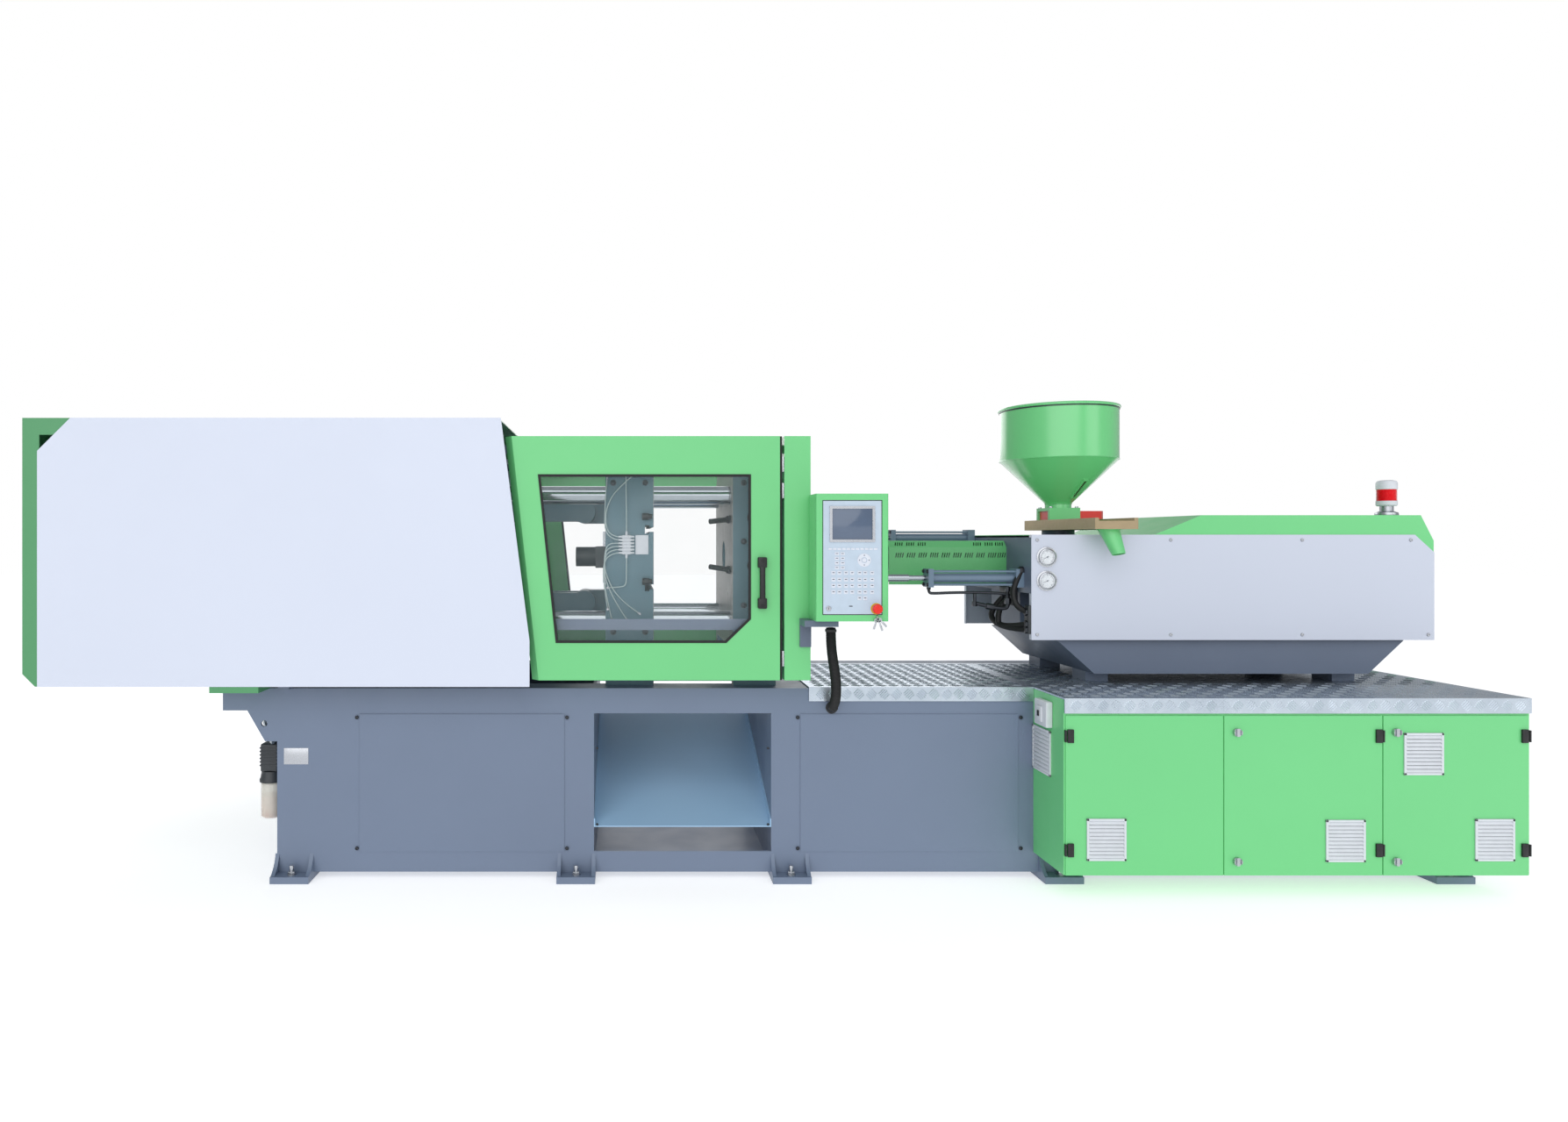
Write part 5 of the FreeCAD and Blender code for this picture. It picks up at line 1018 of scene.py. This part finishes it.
def oil_hoses():
    """Short pressure hoses that loop at the head of the injection unit."""
    ends = bmesh.new()
    for name, run in HOSE_RUNS.items():
        points = [at(*place) for place in run]
        curve = line_curve(name, points, 0.011)
        curve.materials.append(finish_named("black_rubber"))
        hose = bpy.data.objects.new(name, curve)
        bpy.context.scene.collection.objects.link(hose)
        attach(hose, "injection_carriage")
        run_length(line_points(points))
        for place in (points[0], points[-1]):
            rod(ends, place - X * 0.012, place + X * 0.016, 0.0145, sides=6, bevel=0.001)
    settle("hose_fittings", ends, "dark_steel", "injection_carriage")
    mesh = bmesh.new()
    block(mesh, at(1.028, -0.235, 0.990), at(1.0405, -0.080, 1.060), 0.003)
    block(mesh, at(1.030, -0.3565, 0.893), at(1.052, -0.318, 1.000), 0.003)
    settle("valve_blocks", mesh, "dark_casting", "injection_carriage")


INJECTION_COVER_SIDE = 0.360
GAUGE_SPOTS = ((1.097, 1.1815), (1.097, 1.0930))


def pressure_gauges(radius):
    """Flanged gauges with plain numberless dials."""
    rims = bmesh.new()
    dials = bmesh.new()
    marks = bmesh.new()
    panes = bmesh.new()
    for x, z in GAUGE_SPOTS:
        place = at(x, -INJECTION_COVER_SIDE, z)
        lathe(
            rims, place, FRONT,
            [(0.0, 0.0), (radius, 0.0), (radius, 0.0025), (radius * 0.86, 0.004), (radius * 0.84, 0.012),
             (radius * 0.76, 0.0135), (radius * 0.72, 0.0115), (radius * 0.72, 0.004), (0.0, 0.004)], 48,
        )
        for step in range(3):
            turn = math.radians(90 + step * 120)
            spot = place + Vector((math.cos(turn), 0, math.sin(turn))) * radius * 0.93
            screw_head(rims, spot + FRONT * 0.0028, FRONT, radius * 0.075)
        rod(dials, place + FRONT * 0.004, place + FRONT * 0.0065, radius * 0.715, sides=40)
        for step in range(25):
            turn = math.radians(225 - step * 270 / 24)
            way = Vector((math.cos(turn), 0, math.sin(turn)))
            long = radius * (0.14 if step % 4 == 0 else 0.08)
            rod(
                marks, place + FRONT * 0.0067 + way * (radius * 0.64 - long),
                place + FRONT * 0.0067 + way * radius * 0.64,
                0.0005 if step % 4 else 0.0009, sides=6,
            )
        way = Vector((math.cos(math.radians(205)), 0, math.sin(math.radians(205))))
        rod(
            marks, place + FRONT * 0.0078 - way * radius * 0.14, place + FRONT * 0.0078 + way * radius * 0.52,
            0.0012, 0.0004, sides=8
        )
        rod(marks, place + FRONT * 0.0065, place + FRONT * 0.009, radius * 0.07, sides=16)
        rod(panes, place + FRONT * 0.0102, place + FRONT * 0.0112, radius * 0.715, sides=40)
    settle("gauge_rims", rims, "bright_steel", "injection_carriage")
    settle("gauge_dials", dials, "dial_white", "injection_carriage")
    settle("gauge_marks", marks, "key_mark", "injection_carriage")
    settle("gauge_panes", panes, "dial_glass", "injection_carriage")


def cover_screws():
    """Screws along the edges of the injection cover, on both sides."""
    mesh = bmesh.new()
    for side in (-1, 1):
        for x, z in (
            (1.062, 0.892), (1.560, 0.892), (2.050, 0.892), (2.520, 0.892), (1.062, 1.245), (1.560, 1.245),
            (2.050, 1.245), (2.455, 1.245)
        ):
            screw_head(mesh, at(x, side * INJECTION_COVER_SIDE, z), Y * side, 0.0065)
    settle("injection_cover_screws", mesh, "bright_steel", "injection_carriage")
    seam = bmesh.new()
    block(seam, at(1.0405, -0.3595, 0.872), at(1.0435, -0.338, 1.265), 0.001)
    block(seam, at(1.0405, 0.338, 0.872), at(1.0435, 0.3595, 1.265), 0.001)
    settle("cover_front_flanges", seam, "cover_paint", "injection_carriage")


# ---- hopper, shut-off and beacon ----

HOPPER_X = 1.300
CONE_FOOT = (0.050, 1.3933)
CONE_HEAD = (0.225, 1.5700)


def hopper_fittings():
    """Sight slot on the cone, welded bead, a band of painted shade under the rolled rim, and flange bolts."""
    centre_x, centre_y = HOPPER_X, CENTRE_Y
    way = math.radians(-69)
    radial = Vector((math.cos(way), math.sin(way), 0))
    foot = Vector((centre_x, centre_y, CONE_FOOT[1])) + radial * CONE_FOOT[0]
    head = Vector((centre_x, centre_y, CONE_HEAD[1])) + radial * CONE_HEAD[0]
    up = (head - foot).normalized()
    across = Z.cross(radial).normalized()
    out = up.cross(across).normalized()
    if out.dot(radial) < 0:
        out = -out
    seat = foot + up * 0.082
    turn = Matrix((across, -out, up)).transposed().to_4x4()
    place = Matrix.Translation(seat) @ turn
    frame_mesh = bmesh.new()
    part = bmesh.new()
    outline = [(-0.011, 0.001, -0.048), (0.011, 0.001, -0.048), (0.011, 0.001, 0.048), (-0.011, 0.001, 0.048)]
    outline_bar(part, [Vector(corner) for corner in outline], 0.0045, 0.008, FRONT)
    add_part(frame_mesh, part, place)
    settle("sight_slot_frame", frame_mesh, "hopper_gloss", "hopper")
    slot_mesh = bmesh.new()
    part = bmesh.new()
    block(part, (-0.0068, -0.0022, -0.0438), (0.0068, 0.001, 0.0438), 0.001)
    add_part(slot_mesh, part, place)
    settle("sight_slot_pane", slot_mesh, "slot_brown", "hopper")
    bead = bmesh.new()
    middle = Vector((centre_x, centre_y, 0))
    for radius, z, width in ((0.2252, 1.5700, 0.0024), (0.0512, 1.3930, 0.0024)):
        lathe(
            bead, middle + Z * z, Z,
            [(radius, -width), (radius + width, 0.0), (radius, width), (radius - 0.001, 0.0)], 64, closed=True,
        )
    settle("hopper_weld_beads", bead, "hopper_gloss", "hopper", 60.0)
    # painted shade: a dark band just under the rim where the rolled edge shades the cone
    band = bmesh.new()
    top = BOX["hopper"][1].z
    lathe(
        band, middle + Z * (top - 0.0135), Z,
        [(0.2252, -0.003), (0.2275, -0.002), (0.2275, 0.002), (0.2252, 0.003)], 72, closed=True,
    )
    settle("hopper_rim_shade_band", band, "dark_paint", "hopper", 60.0)
    bolts = bmesh.new()
    for dx in (-0.052, 0.052):
        for dy in (-0.052, 0.052):
            hex_bolt(bolts, Vector((centre_x + dx, centre_y + dy, 1.3753)), Z, 0.006)
    settle("hopper_flange_bolts", bolts, "bright_steel", "hopper")
    lip = bmesh.new()
    low, high = BOX["shutoff_gate"]
    rod(
        lip, (centre_x - 0.022, low.y - 0.004, (low.z + high.z) / 2),
        (centre_x + 0.022, low.y - 0.004, (low.z + high.z) / 2), 0.007, sides=16, bevel=0.002
    )
    settle("shutoff_pull", lip, "red_paint", "shutoff_gate")
    rim = bmesh.new()
    low, high = BOX["drain_chute"]
    lathe(
        rim, Vector((HOPPER_X, at(0, -0.415, 0).y, high.z)), -Z,
        [(0.0365, 0.0), (0.042, 0.0), (0.042, 0.003), (0.0365, 0.003)], 40, closed=True
    )
    settle("drain_chute_flange", rim, "green_paint", "injection_carriage")


def signal_beacon():
    """Signal lamp: bolted foot, stem, white housing, ribbed red lens and cap."""
    low, high = BOX["beacon"]
    middle = Vector(((low.x + high.x) / 2, (low.y + high.y) / 2, low.z))
    height = high.z - low.z
    mesh = bmesh.new()
    lathe(
        mesh, middle, Z,
        [
            (0.0, 0.0), (0.037, 0.0), (0.038, 0.003), (0.036, 0.012), (0.026, 0.016), (0.022, 0.018),
            (0.022, 0.038), (0.0, 0.038)
        ],
        48,
    )
    settle("beacon_foot", mesh, "bright_steel", "injection_carriage")
    mesh = bmesh.new()
    lathe(
        mesh, middle, Z,
        [(0.0, 0.037), (0.030, 0.037), (0.034, 0.041), (0.034, 0.056), (0.032, 0.057), (0.0, 0.057)], 48
    )
    lathe(
        mesh, middle, Z,
        [
            (0.0, 0.1005), (0.0325, 0.1005), (0.034, 0.102), (0.034, height - 0.010), (0.030, height - 0.003),
            (0.020, height), (0.0, height)
        ],
        48,
    )
    case = settle("beacon_case", mesh, "white_plastic", "injection_carriage")
    mesh = bmesh.new()
    ribs = [(0.0, 0.0565)]
    for step in range(12):
        z = 0.0568 + step * 0.0037
        ribs += [(0.0315, z), (0.0335, z + 0.0018)]
    ribs += [(0.0315, 0.101), (0.0, 0.101)]
    lathe(mesh, middle, Z, ribs, 48)
    settle("beacon_lens", mesh, "red_lens", "injection_carriage", 60.0)
    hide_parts("beacon")


# ---- deck, cabinet and bed ----

def tread_bars(mesh, corner, right, up, width, height, sizes, skip=None):
    """Groups of five raised bars, turned by a quarter from one group to the next."""
    pitch = sizes.tread_pitch
    columns = int(width / pitch)
    rows = int(height / pitch)
    normal = right.cross(up).normalized()
    turn = Matrix((right, up, normal)).transposed().to_4x4()
    start = Vector(((width - columns * pitch) / 2, (height - rows * pitch) / 2, 0))
    bar = bmesh.new()
    made = bmesh.ops.create_cube(
        bar, size=1.0, matrix=Matrix.Diagonal((sizes.tread_length, 0.0042, sizes.tread_height, 1.0))
    )
    tips = [vert for vert in made["verts"] if vert.co.z > 0]
    bmesh.ops.scale(bar, verts=tips, vec=(0.86, 0.35, 1.0))
    bmesh.ops.delete(bar, geom=[face for face in bar.faces if face.normal.z < -0.9], context="FACES_ONLY")
    bmesh.ops.translate(bar, verts=bar.verts, vec=(0, 0, sizes.tread_height / 2))
    bar_data = bpy.data.meshes.new("bar")
    bar.to_mesh(bar_data)
    bar.free()
    group = bmesh.new()
    for index in range(5):
        before = set(group.verts)
        group.from_mesh(bar_data)
        fresh = [vert for vert in group.verts if vert not in before]
        reach = 1.0 - 0.12 * abs(index - 2)
        bmesh.ops.scale(group, verts=fresh, vec=(reach, 1.0, 1.0))
        bmesh.ops.translate(group, verts=fresh, vec=(0, (index - 2) * 0.0072, 0))
    group_data = bpy.data.meshes.new("group")
    group.to_mesh(group_data)
    group.free()
    for column in range(columns):
        for row in range(rows):
            spot = start + Vector(((column + 0.5) * pitch, (row + 0.5) * pitch, 0))
            point = corner + turn @ spot
            if skip and skip(point):
                continue
            lean = math.radians(45 if (column + row) % 2 else -45)
            before = len(mesh.verts)
            mesh.from_mesh(group_data)
            mesh.verts.ensure_lookup_table()
            fresh = mesh.verts[before:]
            bmesh.ops.transform(
                mesh, matrix=Matrix.Translation(point) @ turn @ Matrix.Rotation(lean, 4, "Z"), verts=fresh
            )
    bpy.data.meshes.remove(bar_data)
    bpy.data.meshes.remove(group_data)


def tread_plates(sizes):
    low, high = BOX["deck_plates"]
    seam_x = BOX["cabinet_shell"][0].x
    top = high.z
    base_low, base_high = BOX["injection_base"]

    def under_base(point):
        return base_low.x + 0.15 < point.x < base_high.x - 0.15 and base_low.y + 0.02 < point.y < base_high.y - 0.02
    plates = (
        ("tread_bars_barrel_deck", low.x + 0.004, seam_x - 0.004, at(0, -0.412, 0).y),
        ("tread_bars_cabinet_deck", seam_x + 0.004, high.x - 0.004, low.y + 0.006),
    )
    for name, x0, x1, y0 in plates:
        mesh = bmesh.new()
        tread_bars(mesh, Vector((x0, y0, top)), X, Y, x1 - x0, high.y - 0.004 - y0, sizes, under_base)
        tread_bars(mesh, Vector((x0, y0 - (0.004 if x1 < seam_x else 0.006), top - 0.050)), X, Z, x1 - x0, 0.048, sizes)
        settle(name, mesh, "tread_aluminium", "machine", 20.0)


def louvre(mesh, place, width, height, slats):
    """A vent frame with slats that lean down and out; local Y runs into the wall."""
    part = bmesh.new()
    half_w, half_h = width / 2, height / 2
    rim = 0.008
    for x0, x1, z0, z1 in (
        (-half_w, half_w, -half_h, -half_h + rim), (-half_w, half_w, half_h - rim, half_h),
        (-half_w, -half_w + rim, -half_h, half_h), (half_w - rim, half_w, -half_h, half_h),
    ):
        block(part, (x0, -0.0055, z0), (x1, 0.0, z1), 0.001)
    pitch = (height - 2 * rim) / slats
    for index in range(slats):
        slat = bmesh.new()
        block(slat, (-half_w + rim, -0.0012, -pitch * 0.46), (half_w - rim, 0.0010, pitch * 0.46), 0.0006)
        z = -half_h + rim + pitch * (index + 0.5)
        add_part(part, slat, Matrix.Translation((0, -0.0030, z)) @ Matrix.Rotation(math.radians(-24), 4, "X"))
    add_part(mesh, part, place)


DOOR_FACE = -0.660
DOOR_LOUVRES = (
    ("cabinet_door_left", (1.170, 0.221)), ("cabinet_door_centre", (1.987, 0.217)),
    ("cabinet_door_right", (2.497, 0.220)), ("cabinet_door_right", (2.254, 0.514)),
)


def cabinet_vents(sizes):
    width, height, slats = sizes.louvre_width, sizes.louvre_height, sizes.louvre_slats
    for index, (door, (x, z)) in enumerate(DOOR_LOUVRES):
        mesh = bmesh.new()
        louvre(mesh, Matrix.Translation(at(x, DOOR_FACE, z)), width, height, slats)
        settle(f"door_vent_{index + 1}", mesh, "white_plastic", door)
        # painted shade: a near-black sheet behind each vent stands for the dark inside
        back = bmesh.new()
        block(
            back, at(x - width / 2 + 0.004, -0.6606, z - height / 2 + 0.004),
            at(x + width / 2 - 0.004, -0.6600, z + height / 2 - 0.004)
        )
        settle(f"door_vent_shade_{index + 1}", back, "painted_void_shade", door)
    mesh = bmesh.new()
    side_x = BOX["cabinet_shell"][0].x
    turn = Matrix.Rotation(-math.pi / 2, 4, "Z")
    louvre(mesh, Matrix.Translation((side_x, at(0, -0.4865, 0).y, 0.490)) @ turn, 0.147, 0.160, slats)
    settle("side_vent", mesh, "white_plastic", "machine")


def cabinet_fittings():
    """Hinge knuckle blocks and the side switch box."""
    mesh = bmesh.new()
    for x, side in ((1.032, 1), (2.116, -1), (2.614, -1)):
        for z in (0.165, 0.555):
            block(
                mesh, at(x + side * 0.004 if side > 0 else x - 0.026, -0.6675, z - 0.003),
                at(x + 0.026 if side > 0 else x - 0.004, -0.6604, z + 0.043), 0.002
            )
    settle("hinge_covers", mesh, "black_plastic", "machine")
    mesh = bmesh.new()
    side_x = BOX["cabinet_shell"][0].x
    y0, y1 = at(0, -0.574, 0).y, at(0, -0.473, 0).y
    block(mesh, (side_x - 0.024, y0, 0.585), (side_x, y1, 0.676), 0.004, 3)
    block(mesh, (side_x - 0.030, y0 + 0.030, 0.600), (side_x - 0.023, y1 - 0.030, 0.655), 0.003, 3)
    settle("side_switch_box", mesh, "white_plastic", "machine")
    mesh = bmesh.new()
    block(mesh, (side_x - 0.033, y0 + 0.044, 0.620), (side_x - 0.029, y1 - 0.044, 0.640), 0.001)
    settle("side_switch_rocker", mesh, "black_plastic", "machine")


def bed_fittings():
    """Panel screws, blank rating plate, chute screws and the levelling bolts in the feet."""
    mesh = bmesh.new()
    for side in (-1, 1):
        for x0, x1 in ((-1.451, -0.699), (0.169, 0.969)):
            for x in (x0 - 0.010, x1 + 0.010):
                for z in (0.112, 0.593):
                    screw_head(mesh, at(x, side * 0.413, z), Y * side, 0.007)
    for x in (-0.578, 0.050):
        for z in (0.200, 0.480):
            screw_head(mesh, at(x, -0.412, z), FRONT, 0.005)
    settle("bed_screws", mesh, "dark_steel", "machine")
    plate = bmesh.new()
    block(plate, at(-1.730, -0.4112, 0.420), at(-1.640, -0.4098, 0.480), 0.0006)
    settle("bed_blank_plate", plate, "bright_steel", "machine")
    bolts = bmesh.new()
    for x in (-1.691, -0.654, 0.130, 1.115, 2.530):
        for side in (-1, 1):
            spot = at(x, side * 0.440, 0.025)
            hex_bolt(bolts, spot, Z, 0.013)
            rod(bolts, spot + Z * 0.012, spot + Z * 0.034, 0.008, sides=16, bevel=0.001)
    settle("levelling_bolts", bolts, "bright_steel", "machine")


def lubricator_unit():
    """Grease pump at the end of the bed: motor, cap, clear jar with oil, pipes."""
    low, high = BOX["lubricator"]
    middle_y = (low.y + high.y) / 2
    middle = Vector((low.x + 0.044, middle_y, 0))
    mesh = bmesh.new()
    block(mesh, (middle.x - 0.032, middle_y - 0.032, 0.380), (middle.x + 0.032, middle_y + 0.032, 0.484), 0.006, 3)
    for step in range(6):
        z = 0.402 + step * 0.013
        block(mesh, (middle.x - 0.034, middle_y - 0.034, z), (middle.x + 0.034, middle_y + 0.034, z + 0.005), 0.001)
    lathe(
        mesh, middle + Z * 0.340, Z,
        [(0.0, 0.0), (0.0435, 0.0), (0.0435, 0.010), (0.040, 0.016), (0.036, 0.040), (0.0, 0.040)], 40
    )
    block(mesh, (middle.x + 0.030, middle_y - 0.028, 0.372), (high.x, middle_y + 0.028, 0.474), 0.002)
    pump = settle("grease_pump", mesh, "dark_casting", "machine")
    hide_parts("lubricator")
    jar = bmesh.new()
    lathe(
        jar, middle + Z * 0.2055, Z,
        [(0.0, 0.0), (0.030, 0.0), (0.0385, 0.006), (0.0385, 0.128), (0.034, 0.134), (0.0325, 0.134),
         (0.0365, 0.127), (0.0365, 0.008), (0.029, 0.0025), (0.0, 0.0025)], 48,
    )
    settle("grease_jar", jar, "jar_plastic", "machine")
    oil = bmesh.new()
    lathe(oil, middle + Z * 0.2085, Z, [(0.0, 0.0), (0.028, 0.0), (0.0358, 0.006), (0.0358, 0.082), (0.0, 0.082)], 48)
    settle("grease_in_jar", oil, "amber_oil", "machine")
    pipes = bmesh.new()
    for y, reach, top in ((-0.020, 0.040, 0.560), (0.004, 0.062, 0.580), (0.024, 0.030, 0.545)):
        y += middle_y
        tube(pipes, [
            Vector((middle.x + 0.010, y, 0.480)), Vector((middle.x + 0.010, y, 0.520)), Vector(
                (middle.x - reach * 0.4, y, 0.545)
            ),
            Vector((middle.x - reach * 0.5, y - 0.010, top + 0.02)), Vector(
                (middle.x - reach * 0.2, y - 0.012, top + 0.045)
            ),
            Vector((middle.x + 0.030, y - 0.012, top + 0.020)), Vector((high.x, y - 0.012, top + 0.010)),
        ], 0.006)
        rod(pipes, (middle.x + 0.010, y, 0.480), (middle.x + 0.010, y, 0.500), 0.010, sides=6, bevel=0.001)
        rod(
            pipes, (high.x - 0.020, y - 0.012, top + 0.0105), (high.x, y - 0.012, top + 0.010), 0.010, sides=6,
            bevel=0.001
        )
    settle("grease_pump_pipes", pipes, "chrome_bar", "machine")


# ---- studio ----

CAMERA_PLACE = (-0.467, -3.889, 1.247)
CAMERA_LENS = 22.16
CAMERA_SHIFT = (0.0999, -0.0137)


def area_light(name, place, target, size, power, colour=(1.0, 1.0, 1.0)):
    data = bpy.data.lights.new(name, "AREA")
    data.shape = "RECTANGLE"
    data.size, data.size_y = size
    data.energy = power
    data.color = colour
    light = bpy.data.objects.new(name, data)
    light.location = place
    light.rotation_euler = (Vector(target) - Vector(place)).to_track_quat("-Z", "Y").to_euler()
    bpy.context.scene.collection.objects.link(light)


def broad_light(name, way, strength):
    data = bpy.data.lights.new(name, "SUN")
    data.energy = strength
    data.angle = math.radians(70)
    light = bpy.data.objects.new(name, data)
    light.rotation_euler = (-Vector(way)).to_track_quat("-Z", "Y").to_euler()
    bpy.context.scene.collection.objects.link(light)


def studio(settings):
    scene = bpy.context.scene
    scene.view_settings.view_transform = "Standard"
    mesh = bmesh.new()
    bmesh.ops.create_grid(mesh, x_segments=1, y_segments=1, size=settings.floor_half)
    data = bpy.data.meshes.new("studio_floor")
    mesh.to_mesh(data)
    mesh.free()
    tree = FinishTree("pale_floor", roughness=0.85)
    tree.colour(tree.mix(tree.noise(0.6), (0.86, 0.86, 0.87, 1.0), (0.90, 0.90, 0.91, 1.0)))
    tree.set("Emission Color", (1.0, 1.0, 1.0, 1.0))
    tree.set("Emission Strength", 0.5)
    data.materials.append(tree.material)
    floor = bpy.data.objects.new("studio_floor", data)
    scene.collection.objects.link(floor)
    world = bpy.data.worlds.new("studio_room")
    world.use_nodes = True
    nodes, links = world.node_tree.nodes, world.node_tree.links
    room = nodes["Background"]
    room.inputs["Color"].default_value = (0.93, 0.96, 1.0, 1.0)
    room.inputs["Strength"].default_value = settings.room_light
    wall = nodes.new("ShaderNodeBackground")
    wall.inputs["Color"].default_value = (1.0, 1.0, 1.0, 1.0)
    wall.inputs["Strength"].default_value = 1.0
    seen = nodes.new("ShaderNodeLightPath")
    choose = nodes.new("ShaderNodeMixShader")
    links.new(seen.outputs["Is Camera Ray"], choose.inputs["Fac"])
    links.new(room.outputs["Background"], choose.inputs[1])
    links.new(wall.outputs["Background"], choose.inputs[2])
    links.new(choose.outputs["Shader"], nodes["World Output"].inputs["Surface"])
    scene.world = world
    broad_light("front_key", (-1.2, -5.0, 2.6), settings.key_power)
    area_light("right_fill", (5.5, -4.5, 2.6), (0.8, 0.0, 0.9), (3.0, 2.5), 30.0)
    area_light("rear_fill", (0.0, 6.5, 3.5), (0.0, 0.0, 0.9), (7.0, 3.0), 120.0)
    camera_data = bpy.data.cameras.new("studio_camera")
    camera_data.lens = CAMERA_LENS
    camera_data.sensor_width = 36.0
    camera_data.shift_x, camera_data.shift_y = CAMERA_SHIFT
    camera_data.clip_end = 100.0
    camera = bpy.data.objects.new("studio_camera", camera_data)
    camera.location = CAMERA_PLACE
    camera.rotation_euler = (math.pi / 2, 0.0, 0.0)
    scene.collection.objects.link(camera)
    scene.camera = camera


# ---- operators ----

class MOULDING_OT_paint_frame(bpy.types.Operator):
    """Make the procedural finishes and put them on the frame's own pieces"""
    bl_idname = "moulding.paint_frame"
    bl_label = "Paint the frame"

    def execute(self, context):
        make_finishes(context.scene.machine_colours)
        paint_nodes()
        return {"FINISHED"}


class MOULDING_OT_guarding(bpy.types.Operator):
    """Add the window seals, handles, latches and folded cover edges coloured as painted shade"""
    bl_idname = "moulding.guarding"
    bl_label = "Guarding fittings"

    def execute(self, context):
        cover_edges()
        window_seals()
        gate_handles()
        gate_seam_parts()
        return {"FINISHED"}


class MOULDING_OT_mould_space(bpy.types.Operator):
    """Add the manifold, grease lines, couplings and bolts round the mould space"""
    bl_idname = "moulding.mould_space"
    bl_label = "Mould space fittings"

    def execute(self, context):
        lubrication_manifold()
        lubrication_lines(context.scene.detail_sizes.line_width)
        platen_fittings()
        return {"FINISHED"}


class MOULDING_OT_control_panel(bpy.types.Operator):
    """Add the display, keys, lock, stop ring and key bunch of the control panel"""
    bl_idname = "moulding.control_panel"
    bl_label = "Control panel face"

    def execute(self, context):
        control_panel_face()
        stop_ring_and_keys()
        return {"FINISHED"}


class MOULDING_OT_conduit(bpy.types.Operator):
    """Add the ribbed conduit that hangs from the control panel, with its glands"""
    bl_idname = "moulding.conduit"
    bl_label = "Ribbed conduit"

    def execute(self, context):
        ribbed_conduit()
        return {"FINISHED"}


class MOULDING_OT_injection_unit(bpy.types.Operator):
    """Add the slotted guard, heater bands, cylinder fittings, pipes and hoses"""
    bl_idname = "moulding.injection_unit"
    bl_label = "Injection unit fittings"

    def execute(self, context):
        slotted_guard()
        heater_bands()
        cylinder_fittings()
        oil_hoses()
        return {"FINISHED"}


class MOULDING_OT_injection_cover(bpy.types.Operator):
    """Add the gauges, screws and flanges of the injection cover"""
    bl_idname = "moulding.injection_cover"
    bl_label = "Injection cover fittings"

    def execute(self, context):
        pressure_gauges(context.scene.detail_sizes.gauge_radius)
        cover_screws()
        return {"FINISHED"}


class MOULDING_OT_hopper(bpy.types.Operator):
    """Add the sight slot, beads, rim band of painted shade and bolts of the hopper"""
    bl_idname = "moulding.hopper"
    bl_label = "Hopper fittings"

    def execute(self, context):
        hopper_fittings()
        return {"FINISHED"}


class MOULDING_OT_beacon(bpy.types.Operator):
    """Build the signal lamp with its ribbed lens"""
    bl_idname = "moulding.beacon"
    bl_label = "Signal lamp"

    def execute(self, context):
        signal_beacon()
        return {"FINISHED"}


class MOULDING_OT_deck(bpy.types.Operator):
    """Raise the tread bars on the deck plates"""
    bl_idname = "moulding.deck"
    bl_label = "Tread plates"

    def execute(self, context):
        tread_plates(context.scene.detail_sizes)
        return {"FINISHED"}


class MOULDING_OT_cabinet(bpy.types.Operator):
    """Add the vents, hinge covers and switch box of the electrical cabinet"""
    bl_idname = "moulding.cabinet"
    bl_label = "Cabinet fittings"

    def execute(self, context):
        cabinet_vents(context.scene.detail_sizes)
        cabinet_fittings()
        return {"FINISHED"}


class MOULDING_OT_bed(bpy.types.Operator):
    """Add the bed's screws, blank plate, levelling bolts and grease pump"""
    bl_idname = "moulding.bed"
    bl_label = "Bed fittings"

    def execute(self, context):
        bed_fittings()
        lubricator_unit()
        return {"FINISHED"}


class MOULDING_OT_studio(bpy.types.Operator):
    """Set up the pale floor, soft lights and camera"""
    bl_idname = "moulding.studio"
    bl_label = "Studio"

    def execute(self, context):
        studio(context.scene.studio_settings)
        return {"FINISHED"}


class MOULDING_PT_sidebar(bpy.types.Panel):
    """Lists the settings and the steps of the moulding machine"""
    bl_idname = "MOULDING_PT_sidebar"
    bl_label = "Moulding machine"
    bl_space_type = "VIEW_3D"
    bl_region_type = "UI"
    bl_category = "Moulding"

    def draw(self, context):
        scene = context.scene
        for settings in (scene.machine_colours, scene.detail_sizes, scene.studio_settings):
            box = self.layout.box()
            for name in settings.bl_rna.properties.keys():
                if name not in ("rna_type", "name"):
                    box.prop(settings, name)
        for step in STEPS:
            self.layout.operator(step.bl_idname)


SETTINGS = (
    ("machine_colours", MachineColours), ("detail_sizes", DetailSizes), ("studio_settings", StudioSettings),
)
STEPS = (
    MOULDING_OT_studio, MOULDING_OT_paint_frame, MOULDING_OT_guarding, MOULDING_OT_mould_space,
    MOULDING_OT_control_panel, MOULDING_OT_conduit, MOULDING_OT_injection_unit, MOULDING_OT_injection_cover,
    MOULDING_OT_hopper, MOULDING_OT_beacon, MOULDING_OT_deck, MOULDING_OT_cabinet, MOULDING_OT_bed,
)


def register():
    for name, settings in SETTINGS:
        bpy.utils.register_class(settings)
        setattr(bpy.types.Scene, name, PointerProperty(type=settings))
    for step in STEPS:
        bpy.utils.register_class(step)
    bpy.utils.register_class(MOULDING_PT_sidebar)


def unregister():
    bpy.utils.unregister_class(MOULDING_PT_sidebar)
    for step in reversed(STEPS):
        bpy.utils.unregister_class(step)
    for name, settings in reversed(SETTINGS):
        delattr(bpy.types.Scene, name)
        bpy.utils.unregister_class(settings)


def main():
    register()
    for step in STEPS:
        group, name = step.bl_idname.split(".")
        getattr(getattr(bpy.ops, group), name)()


if __name__ == "__main__":
    main()
